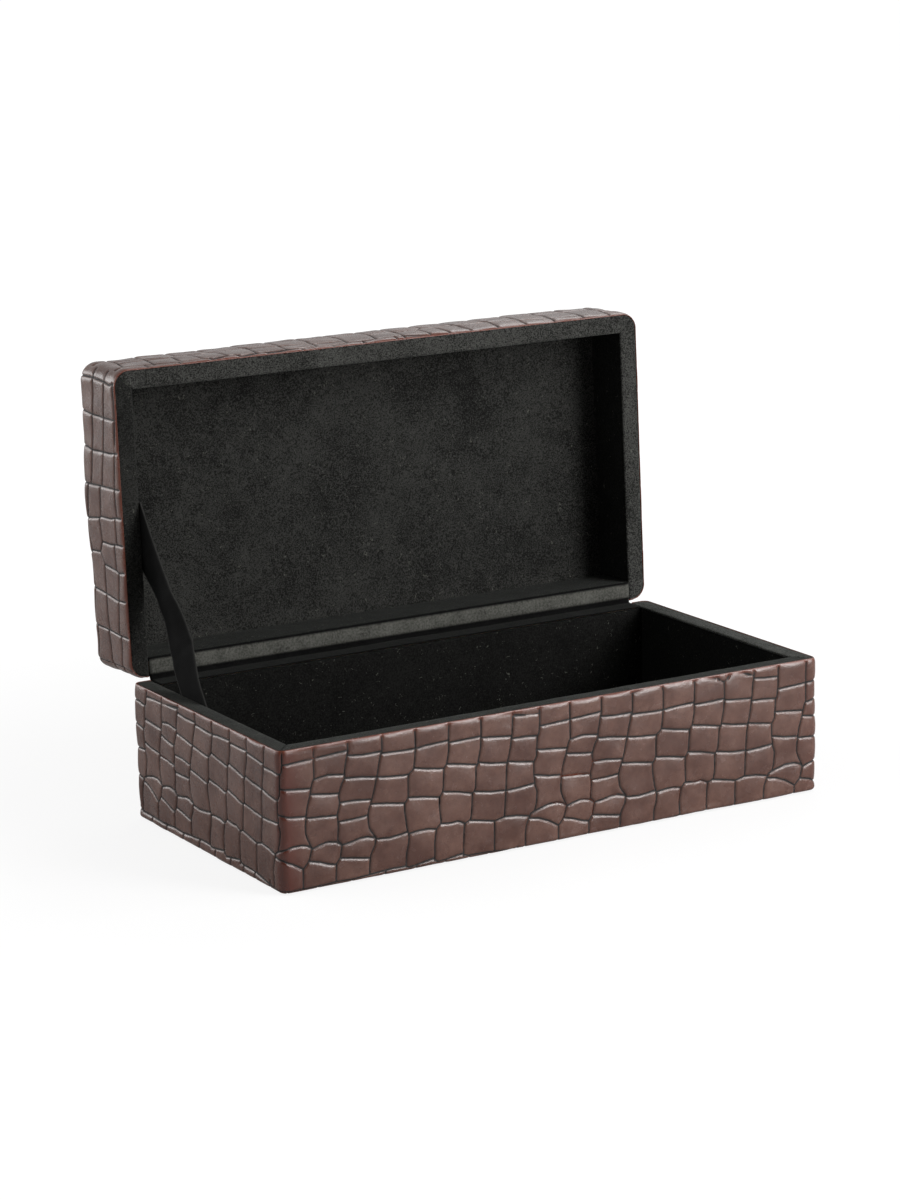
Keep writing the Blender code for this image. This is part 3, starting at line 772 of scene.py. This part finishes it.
def hinge_cloth(material):
    """One strip over the back rim of the base and on up the back rim of the open lid."""
    base_low, base_high = closed_box("hinge_cloth_base_leaf")
    lid_low, lid_high = closed_box("hinge_cloth_lid_leaf")
    turn = np.array(OPENED)

    def on_lid(y, z):
        p = turn[:3, :3] @ np.array([0, y, z]) + turn[:3, 3]
        return p[1], p[2]

    face, back = [], []
    for y in spaced(0.0092, 0.0008, 0.0007) + base_low[1] - 0.0001:
        soft = drop(np.array([y - base_low[1] + 0.0001]), 0.0009, 0.0004)[0]
        face.append((y, base_high[2] + 0.0001 - soft))
        back.append((y, base_low[2]))
    face += [(0.07085, 0.06330), (0.07120, 0.06350), (0.07142, 0.06385)]
    back += [(0.07100, 0.06285), (0.07150, 0.06308), (0.07185, 0.06350)]
    for away in spaced(0.0087, 0.0010, 0.0007) + 0.0009:
        puff = 0.00035 * math.sin(math.pi * min(max((away - 0.0012) / 0.0082, 0), 1))
        soft = drop(np.array([0.0096 - away]), 0.0010, 0.0004)[0]
        face.append(on_lid(HALF_DEPTH - away, lid_low[2] - puff + soft))
        back.append(on_lid(HALF_DEPTH - away, lid_high[2]))
    loop = np.array(face + back[::-1])
    reach = base_high[0]
    xs = np.linspace(-reach, reach, 175)
    points = np.empty((len(xs), len(loop), 3))
    points[..., 0] = xs[:, None]
    points[..., 1:] = loop[None]
    flat = points[:, : len(face)].reshape(-1, 3)
    wave = ripple(flat, 0.014, 21) * 0.00005 + ripple(flat, 0.05, 22) * 0.00008
    wave = wave.reshape(len(xs), len(face))
    normal = unit(np.gradient(np.array(face), axis=0))
    points[:, : len(face), 1] -= wave * np.abs(normal[None, :, 1])
    points[:, : len(face), 2] += wave * np.abs(normal[None, :, 0])
    index = np.arange(points.shape[0] * points.shape[1]).reshape(points.shape[:2])
    quads = grid_quads(index, closed_columns=True)
    # Painted light and shade: the band over the lid's back rim is painted light, the rest of the one cloth
    # dark.
    light = np.zeros(points.shape[:2])
    places = np.array(face)
    above, below = (places[:, 1] - 0.0655) / 0.0010, (0.0727 - places[:, 1]) / 0.0008
    light[:, : len(face)] = (np.clip(above, 0, 1) * np.clip(below, 0, 1))[None]
    obj = make_piece("hinge_cloth", points.reshape(-1, 3), quads, material, "both",
                     ["hinge_cloth_base_leaf", "hinge_cloth_lid_leaf"], caps=[index[0][::-1], index[-1]],
                     attributes={"light": light.ravel()})
    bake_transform(obj)


def ribbon(material):
    """The stay: a woven ribbon from the base's left lining to the lid's, slack enough to bow inwards."""
    width, thickness, tail, base_reach, lid_reach = 0.020, 0.0005, 0.016, 0.0427, 0.0624
    slack, twist, rows, columns = 0.0024, 0.0015, 110, 25
    hinge = np.array([HALF_DEPTH, HINGE_Z])
    opened = math.radians(OPEN_ANGLE)
    low = hinge - np.array([base_reach, 0])
    high = hinge + lid_reach * np.array([-math.cos(opened), math.sin(opened)])
    span = np.linalg.norm(high - low)
    along = (high - low) / span
    across = np.array([along[1], -along[0]])
    wall_x = -HALF_WIDTH + WALL + GAP
    reach = np.linspace(-tail, span + tail, rows)
    share = np.clip(reach / span, 0, 1)
    bow = slack * np.sin(math.pi * share) ** 2
    crease = 0.0004 * (np.exp(-(((share - 0.30) / 0.03) ** 2)) - np.exp(-(((share - 0.62) / 0.05) ** 2)))
    side = np.linspace(-1, 1, columns)
    r, s = np.meshgrid(reach, side, indexing="ij")
    plane = low + r[..., None] * along + (s * width / 2)[..., None] * across
    cup = 0.0004 * s**2 * np.sin(math.pi * share)[:, None]
    turned = np.sin(2 * math.pi * (share - 0.47)) * np.sin(math.pi * share) * twist
    x = wall_x + np.maximum((bow + crease)[:, None] + cup + turned[:, None] * s, 0)
    edge = 0.00009 * (np.abs(s) > 0.93)
    front = np.stack([x + thickness + edge, plane[..., 0], plane[..., 1]], -1)
    rear = np.stack([x, plane[..., 0], plane[..., 1]], -1)
    loop = np.concatenate([front, rear[:, ::-1]], 1)
    index = np.arange(loop.shape[0] * loop.shape[1]).reshape(loop.shape[:2])
    quads = grid_quads(index, closed_columns=True)
    thread = np.concatenate([np.abs(s) ** 24, np.abs(s) ** 24], 1)
    along_m = np.broadcast_to(reach[:, None], (rows, 2 * columns))
    obj = make_piece("stay_band", loop.reshape(-1, 3), quads, material, "both", ["stay_ribbon"],
                     caps=[index[0][::-1], index[-1]],
                     attributes={"thread": thread.ravel(), "reach": along_m.ravel()})
    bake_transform(obj)


def soft_copy(node, name, material, seed):
    """A sealed inner foam sheet: the CAD form, moved slightly inwards, with a slightly uneven surface."""
    source = frame["nodes"][node]
    bm = bmesh.new()
    bm.from_mesh(source.data)
    bmesh.ops.remove_doubles(bm, verts=bm.verts, dist=1e-6)
    bmesh.ops.recalc_face_normals(bm, faces=bm.faces)
    bm.normal_update()
    points = np.array([v.co for v in bm.verts])
    lumps = ripple(points, 0.02, seed)
    for vert, lump in zip(bm.verts, lumps):
        vert.co -= vert.normal * (0.00008 + 0.00006 * float(lump))
    mesh = bpy.data.meshes.new(name)
    bm.to_mesh(mesh)
    bm.free()
    mesh.materials.append(material)
    obj = bpy.data.objects.new(name, mesh)
    bpy.context.scene.collection.objects.link(obj)
    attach(obj, source["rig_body"])
    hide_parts(node)


# Materials


class Look:
    """A node material: each method adds a node and gives its output."""

    def __init__(self, name, roughness, sheen=0.0, sheen_roughness=0.5, sheen_tint=(1, 1, 1), specular=0.5):
        self.material = bpy.data.materials.new(name)
        self.material.use_nodes = True
        self.tree = self.material.node_tree
        self.shader = self.tree.nodes["Principled BSDF"]
        self.shader.inputs["Roughness"].default_value = roughness
        self.shader.inputs["Sheen Weight"].default_value = sheen
        self.shader.inputs["Sheen Roughness"].default_value = sheen_roughness
        self.shader.inputs["Sheen Tint"].default_value = (*sheen_tint, 1)
        self.shader.inputs["Specular IOR Level"].default_value = specular
        self.place = self.tree.nodes.new("ShaderNodeTexCoord").outputs["Object"]

    def put(self, socket, value):
        if isinstance(value, bpy.types.NodeSocket):
            self.tree.links.new(value, socket)
        else:
            socket.default_value = value

    def node(self, kind, output=0, settings=None, **inputs):
        node = self.tree.nodes.new(kind)
        for key, value in (settings or {}).items():
            setattr(node, key, value)
        for key, value in inputs.items():
            name = key.replace("_", " ")
            socket = node.inputs[int(key[1:])] if key[0] == "i" and key[1:].isdigit() else node.inputs[name]
            self.put(socket, value)
        return node.outputs[output]

    def noise(self, size, detail=3.0, roughness=0.55, distortion=0.0, place=None):
        """Noise whose features are about this big."""
        return self.node("ShaderNodeTexNoise", Vector=place or self.place, Scale=1 / size, Detail=detail,
                         Roughness=roughness, Distortion=distortion)

    def attribute(self, name):
        return self.node("ShaderNodeAttribute", 2, {"attribute_name": name})

    def remap(self, value, low, high, to_low=0.0, to_high=1.0):
        return self.node("ShaderNodeMapRange", Value=value, From_Min=low, From_Max=high,
                         To_Min=to_low, To_Max=to_high)

    def patches(self, size, detail, roughness, low=0.3, high=0.7, distortion=0.0, place=None):
        """Noise spread out to run from 0 to 1."""
        return self.remap(self.noise(size, detail, roughness, distortion, place), low, high)

    def weighted(self, *parts):
        """The sum of values, each times its weight."""
        total = None
        for value, weight in parts:
            value = self.math("MULTIPLY", value, weight)
            total = value if total is None else self.math("ADD", total, value)
        return total

    def stain(self, colour, value, weight, other):
        """The colour, changed to the other one by value times weight."""
        return self.mix(self.math("MULTIPLY", value, weight), colour, other)

    def math(self, operation, a, b=0.5):
        return self.node("ShaderNodeMath", 0, {"operation": operation}, i0=a, i1=b)

    def mix(self, share, a, b):
        a = (*a, 1) if isinstance(a, tuple) else a
        b = (*b, 1) if isinstance(b, tuple) else b
        return self.node("ShaderNodeMix", 2, {"data_type": "RGBA"}, i0=share, i6=a, i7=b)

    def bump(self, height, distance, strength=1.0, normal=None):
        out = self.node("ShaderNodeBump", Height=height, Distance=distance, Strength=strength)
        if normal is not None:
            self.tree.links.new(normal, out.node.inputs["Normal"])
        return out

    def finish(self, colour, normal=None, roughness=None):
        self.put(self.shader.inputs["Base Color"], colour)
        if normal is not None:
            self.tree.links.new(normal, self.shader.inputs["Normal"])
        if roughness is not None:
            self.tree.links.new(roughness, self.shader.inputs["Roughness"])
        return self.material


def leather_look():
    look = Look("embossed_leather", 0.30, specular=0.55)
    seam, edge = look.attribute("seam"), look.attribute("edge")
    # Cloudy tone: partly the leather's own uneven colour, partly painted highlight patches.
    cloud = look.patches(0.020, 5, 0.68, 0.36, 0.64)
    mottle = look.patches(0.0026, 3, 0.65)
    colour = look.mix(cloud, (0.072, 0.030, 0.021), (0.146, 0.076, 0.057))
    colour = look.stain(colour, mottle, 0.40, (0.062, 0.024, 0.017))
    speck = look.patches(0.0007, 2, 0.6, 0.60, 0.72)
    colour = look.stain(colour, speck, 0.55, (0.026, 0.012, 0.010))
    # Dark seams: partly the grooves' own darker finish, partly painted shade in the grooves.
    groove = look.remap(seam, 0.22, 0.62)
    # Painted shade at the vertical corners, dark red.
    colour = look.mix(look.attribute("painted_corner_shade"), colour, (0.075, 0.015, 0.008))
    colour = look.mix(groove, colour, (0.0040, 0.0024, 0.0021))
    colour = look.mix(edge, colour, (0.120, 0.029, 0.014))
    normal = look.bump(look.noise(0.0006, 3, 0.7), 0.00010, 0.8)
    normal = look.bump(look.noise(0.0015, 4, 0.65, 0.6), 0.00010, 0.7, normal)
    rough = look.remap(look.noise(0.007, 3, 0.6), 0.3, 0.7, 0.15, 0.32)
    rough = look.math("ADD", rough, look.math("MULTIPLY", groove, 0.5))
    return look.finish(colour, normal, rough)


NAP_TINT = (0.95, 1.0, 0.93)


def suede_look(name, tone, sheen, contrast):
    """Napped suede of about this tone: cloudy where the nap lies otherwise, with fibres and lint."""
    look = Look(name, 1.0, sheen=sheen, sheen_roughness=0.55, sheen_tint=NAP_TINT, specular=0.05)
    cloud = look.patches(0.03, 4, 0.62, 0.32, 0.68, distortion=0.4)
    smudge = look.patches(0.009, 3, 0.6, distortion=0.3)
    fibre = look.patches(0.00065, 2, 0.8, 0.37, 0.63)
    grain = look.patches(0.0013, 3, 0.7, 0.34, 0.66)
    share = look.weighted((cloud, 0.22), (fibre, 0.48), (grain, 0.20), (smudge, 0.10))
    share = look.remap(share, 0.32, 0.68)
    low, high = tone * (1 - 0.75 * contrast), tone * (1 + 0.75 * contrast)
    colour = look.mix(share, (low, low, low * 0.95), (high, high, high * 0.93))
    lint = look.patches(0.0016, 1, 0.3, 0.725, 0.765, distortion=1.5)
    colour = look.stain(colour, lint, 0.30, (0.20, 0.20, 0.17))
    normal = look.bump(look.noise(0.0007, 3, 0.7), 0.00030, 0.9)
    normal = look.bump(look.noise(0.004, 3, 0.6), 0.0002, 0.5, normal)
    return look.finish(colour, normal)


def hinge_look():
    look = Look("hinge_suede", 1.0, sheen=0.03, sheen_tint=NAP_TINT, specular=0.05)
    fibre = look.patches(0.0011, 3, 0.75, 0.35, 0.65)
    cloud = look.patches(0.012, 3, 0.6)
    share = look.weighted((cloud, 0.40), (fibre, 0.60))
    # Painted shade over the base's rim and painted light on the band over the lid's back rim, on one cloth.
    dark = look.mix(share, (0.001, 0.001, 0.001), (0.006, 0.006, 0.006))
    light = look.mix(share, (0.026, 0.026, 0.023), (0.130, 0.130, 0.116))
    colour = look.mix(look.attribute("light"), dark, light)
    return look.finish(colour, look.bump(look.noise(0.0007, 3, 0.7), 0.00025, 0.8))


def ribbon_look():
    look = Look("woven_ribbon", 0.8, sheen=0.02, sheen_roughness=0.4, specular=0.05)
    reach, thread = look.attribute("reach"), look.attribute("thread")
    ribs = look.math("SINE", look.math("MULTIPLY", reach, 2 * math.pi / 0.0007), 0)
    ribs = look.remap(ribs, -1.0, 1.0)
    cloud = look.patches(0.012, 3, 0.6)
    colour = look.mix(cloud, (0.002, 0.002, 0.002), (0.007, 0.007, 0.007))
    colour = look.stain(colour, ribs, 0.4, (0.001, 0.001, 0.001))
    colour = look.stain(colour, thread, 0.6, (0.045, 0.045, 0.043))
    normal = look.bump(ribs, 0.00008, 0.7)
    normal = look.bump(look.noise(0.0004, 2, 0.6), 0.00005, 0.5, normal)
    return look.finish(colour, normal)


def felt_look():
    look = Look("pressed_felt", 1.0, sheen=0.2, sheen_roughness=0.6, specular=0.05)
    fibre = look.patches(0.0006, 4, 0.75, distortion=1.2)
    cloud = look.patches(0.015, 3, 0.6)
    share = look.weighted((fibre, 0.7), (cloud, 0.3))
    colour = look.mix(share, (0.005, 0.005, 0.005), (0.022, 0.022, 0.021))
    return look.finish(colour, look.bump(look.noise(0.0005, 4, 0.7, 1.0), 0.0003, 0.8))


def board_look():
    look = Look("fibreboard", 0.85, specular=0.2)
    stretched = look.node("ShaderNodeMapping", Vector=look.place, Scale=(1.0, 1.0, 3.0))
    fibre = look.patches(0.0012, 4, 0.7, distortion=0.8, place=stretched)
    fleck = look.patches(0.0006, 2, 0.6, 0.58, 0.7)
    colour = look.mix(fibre, (0.26, 0.17, 0.10), (0.44, 0.31, 0.20))
    colour = look.stain(colour, fleck, 0.5, (0.16, 0.10, 0.06))
    return look.finish(colour, look.bump(fibre, 0.0001, 0.5))


def card_look():
    look = Look("grey_card", 0.9, specular=0.2)
    pulp = look.patches(0.0009, 4, 0.7)
    fleck = look.patches(0.0005, 2, 0.5, 0.64, 0.74, distortion=0.8)
    colour = look.mix(pulp, (0.27, 0.26, 0.24), (0.38, 0.37, 0.34))
    colour = look.stain(colour, fleck, 0.6, (0.10, 0.10, 0.10))
    return look.finish(colour, look.bump(pulp, 0.00006, 0.5))


def foam_look():
    look = Look("cell_foam", 0.95, specular=0.2)
    cells = look.node("ShaderNodeTexVoronoi", Vector=look.place, Scale=1 / 0.0007)
    shade = look.remap(cells, 0.0, 0.6)
    colour = look.mix(shade, (0.30, 0.28, 0.23), (0.60, 0.57, 0.49))
    return look.finish(colour, look.bump(shade, 0.0002, 0.8))


# The dressed box


# Suede tones per piece: one suede painted lighter or darker by how lit each piece is, painted light and
# shade.
SUEDE_LIGHT_AND_SHADE_TONES = {
    "base_front_lining": 0.005, "base_back_lining": 0.006, "base_left_lining": 0.005,
    "base_right_lining": 0.004, "base_floor_lining": 0.008, "lid_front_lining": 0.010,
    "lid_back_lining": 0.004, "lid_left_lining": 0.014,
    "lid_right_lining": 0.009, "lid_top_lining": 0.021, "base_front_rim": 0.016, "base_left_rim": 0.012,
    "base_right_rim": 0.032, "lid_front_rim": 0.034, "lid_left_rim": 0.016, "lid_right_rim": 0.034,
}


def dress():
    leather = leather_look()
    leather_base(leather)
    leather_lid(leather)
    suede = {}
    for node, tone in SUEDE_LIGHT_AND_SHADE_TONES.items():
        suede[node] = suede_look("suede_" + node, tone, 0.04 + tone, 1.0 if tone > 0.02 else 0.8)
    seed = 30
    facings = {"front": (0, 1, 0), "back": (0, -1, 0), "left": (1, 0, 0), "right": (-1, 0, 0)}
    for half in ("base", "lid"):
        for side, facing in facings.items():
            seed += 1
            node = f"{half}_{side}_lining"
            lining(node, f"{half}_{side}_suede", facing, suede[node], seed=seed)
        for side in ("front", "left", "right"):
            seed += 1
            node = f"{half}_{side}_rim"
            rim(node, f"{half}_{side}_rim_suede", side, suede[node], seed)
    lining("base_floor_lining", "base_floor_suede", (0, 0, 1), suede["base_floor_lining"], seed=51)
    top = lining("lid_top_lining", "lid_top_pad", (0, 0, -1), suede["lid_top_lining"],
                 lumps=0.00016, seed=52)
    lining("base_bottom_felt", "bottom_felt", (0, 0, -1), felt_look(), "felt", 0.0004, 0.003, seed=53)
    hinge_cloth(hinge_look())
    ribbon(ribbon_look())
    foam = foam_look()
    soft_copy("lid_top_foam", "lid_top_foam_sheet", foam, 61)
    soft_copy("lid_top_lining_foam", "lid_lining_foam_sheet", foam, 62)
    board, card = board_look(), card_look()
    for name, node in frame["nodes"].items():
        if name.endswith("_board"):
            node.data.materials[0] = board
        elif name.endswith("_card"):
            node.data.materials[0] = card


# Studio


def add_light(name, place, target, size, radiance):
    light = bpy.data.lights.new(name, "AREA")
    light.shape, light.size, light.size_y = "RECTANGLE", *size
    light.energy = radiance * math.pi * size[0] * size[1]
    obj = bpy.data.objects.new(name, light)
    obj.location = place
    obj.rotation_euler = (Vector(target) - Vector(place)).to_track_quat("-Z", "Y").to_euler()
    bpy.context.scene.collection.objects.link(obj)


def white_to_camera(tree, shader_out, base):
    """Adds a glow to what camera rays see, stronger far from the object, which keeps its shadow."""
    path = tree.nodes.new("ShaderNodeLightPath")
    glow = tree.nodes.new("ShaderNodeEmission")
    away = tree.nodes.new("ShaderNodeVectorMath")
    away.operation = "LENGTH"
    level = tree.nodes.new("ShaderNodeMapRange")
    for name, value in (("From Min", 0.22), ("From Max", 0.9), ("To Min", 0.85), ("To Max", 0.97)):
        level.inputs[name].default_value = value
    tree.links.new(tree.nodes.new("ShaderNodeTexCoord").outputs["Object"], away.inputs[0])
    tree.links.new(away.outputs["Value"], level.inputs["Value"])
    tree.links.new(level.outputs[0], glow.inputs["Strength"])
    both = tree.nodes.new("ShaderNodeAddShader")
    mix = tree.nodes.new("ShaderNodeMixShader")
    thin = tree.nodes.new("ShaderNodeBsdfDiffuse")
    thin.inputs["Color"].default_value = (0.16, 0.16, 0.16, 1)
    tree.links.new(thin.outputs[0], both.inputs[0])
    tree.links.new(glow.outputs[0], both.inputs[1])
    tree.links.new(path.outputs["Is Camera Ray"], mix.inputs[0])
    tree.links.new(base, mix.inputs[1])
    tree.links.new(both.outputs[0], mix.inputs[2])
    tree.links.new(mix.outputs[0], shader_out)


def studio():
    mesh = bpy.data.meshes.new("floor")
    reach, level = 12, -0.0001
    corners = [(x, y, level) for x, y in ((-reach, -reach), (reach, -reach), (reach, reach), (-reach, reach))]
    mesh.from_pydata(corners, [], [(0, 1, 2, 3)])
    floor = bpy.data.objects.new("floor", mesh)
    bpy.context.scene.collection.objects.link(floor)
    pale = bpy.data.materials.new("pale_floor")
    pale.use_nodes = True
    shader = pale.node_tree.nodes["Principled BSDF"]
    shader.inputs["Base Color"].default_value = (0.55, 0.55, 0.55, 1)
    shader.inputs["Roughness"].default_value = 0.9
    white_to_camera(pale.node_tree, pale.node_tree.nodes["Material Output"].inputs[0], shader.outputs[0])
    mesh.materials.append(pale)

    world = bpy.data.worlds.new("studio")
    bpy.context.scene.world = world
    world.use_nodes = True
    tree = world.node_tree

    def node(kind, operation=None, *values):
        new = tree.nodes.new(kind)
        if operation:
            new.operation = operation
        for number, value in enumerate(values):
            if isinstance(value, bpy.types.NodeSocket):
                tree.links.new(value, new.inputs[number])
            else:
                new.inputs[number].default_value = value
        return new

    path = node("ShaderNodeLightPath")
    place = node("ShaderNodeTexCoord").outputs["Generated"]
    towards = node("ShaderNodeVectorMath", "DOT_PRODUCT", place, (-0.50, -0.84, 0.21)).outputs["Value"]
    dark = node("ShaderNodeMapRange")
    tree.links.new(towards, dark.inputs["Value"])
    for name, value in (("From Min", 0.55), ("From Max", 0.95), ("To Min", 0.95), ("To Max", 0.12)):
        dark.inputs[name].default_value = value
    soft = node("ShaderNodeMath", "MULTIPLY", dark.outputs[0], 0.40).outputs[0]
    glossy = node("ShaderNodeMix")
    tree.links.new(path.outputs["Is Glossy Ray"], glossy.inputs[0])
    tree.links.new(soft, glossy.inputs[2])
    tree.links.new(node("ShaderNodeMath", "MULTIPLY", dark.outputs[0], 0.65).outputs[0], glossy.inputs[3])
    seen = node("ShaderNodeMath", "MAXIMUM", glossy.outputs[0], path.outputs["Is Camera Ray"]).outputs[0]
    tree.links.new(seen, tree.nodes["Background"].inputs["Strength"])
    tree.nodes["Background"].inputs["Color"].default_value = (1, 1, 1, 1)

    middle = (0, 0, 0.08)
    add_light("key", (0.64, -0.92, 0.74), middle, (0.55, 0.75), 6.5)
    add_light("low", (0.68, -1.06, 0.33), middle, (0.50, 0.42), 11.0)
    add_light("right", (1.05, -0.45, 0.80), middle, (0.4, 0.4), 7.0)
    add_light("left", (-1.10, 0.35, 0.75), middle, (0.8, 0.7), 2.6)
    add_light("back_left", (-0.80, 1.10, 0.34), middle, (0.9, 0.5), 3.4)
    add_light("back_right", (0.95, 0.95, 1.10), middle, (0.7, 0.7), 2.4)


CAMERA_PLACE, CAMERA_ANGLES = (-0.79276, -1.33330, 0.46221), (-30.30907, 13.26889, -1.22057)
FOCAL_PIXELS, PICTURE_HEIGHT, SENSOR = 3517.05, 1200, 36


def camera():
    azimuth, elevation, roll = (math.radians(angle) for angle in CAMERA_ANGLES)
    back = Vector((math.sin(azimuth) * math.cos(elevation), -math.cos(azimuth) * math.cos(elevation),
                   math.sin(elevation)))
    right = Vector((math.cos(azimuth), math.sin(azimuth), 0))
    up = back.cross(right)
    turned_right = math.cos(roll) * right + math.sin(roll) * up
    turned_up = -math.sin(roll) * right + math.cos(roll) * up
    data = bpy.data.cameras.new("camera")
    data.sensor_width = SENSOR
    data.lens = FOCAL_PIXELS / PICTURE_HEIGHT * SENSOR
    data.clip_start, data.clip_end = 0.05, 60
    obj = bpy.data.objects.new("camera", data)
    turned = Matrix((turned_right, turned_up, back)).transposed().to_4x4()
    obj.matrix_world = Matrix.Translation(CAMERA_PLACE) @ turned
    bpy.context.scene.collection.objects.link(obj)
    bpy.context.scene.camera = obj


camera()
dress()
studio()
bpy.context.scene.view_settings.view_transform = "Standard"
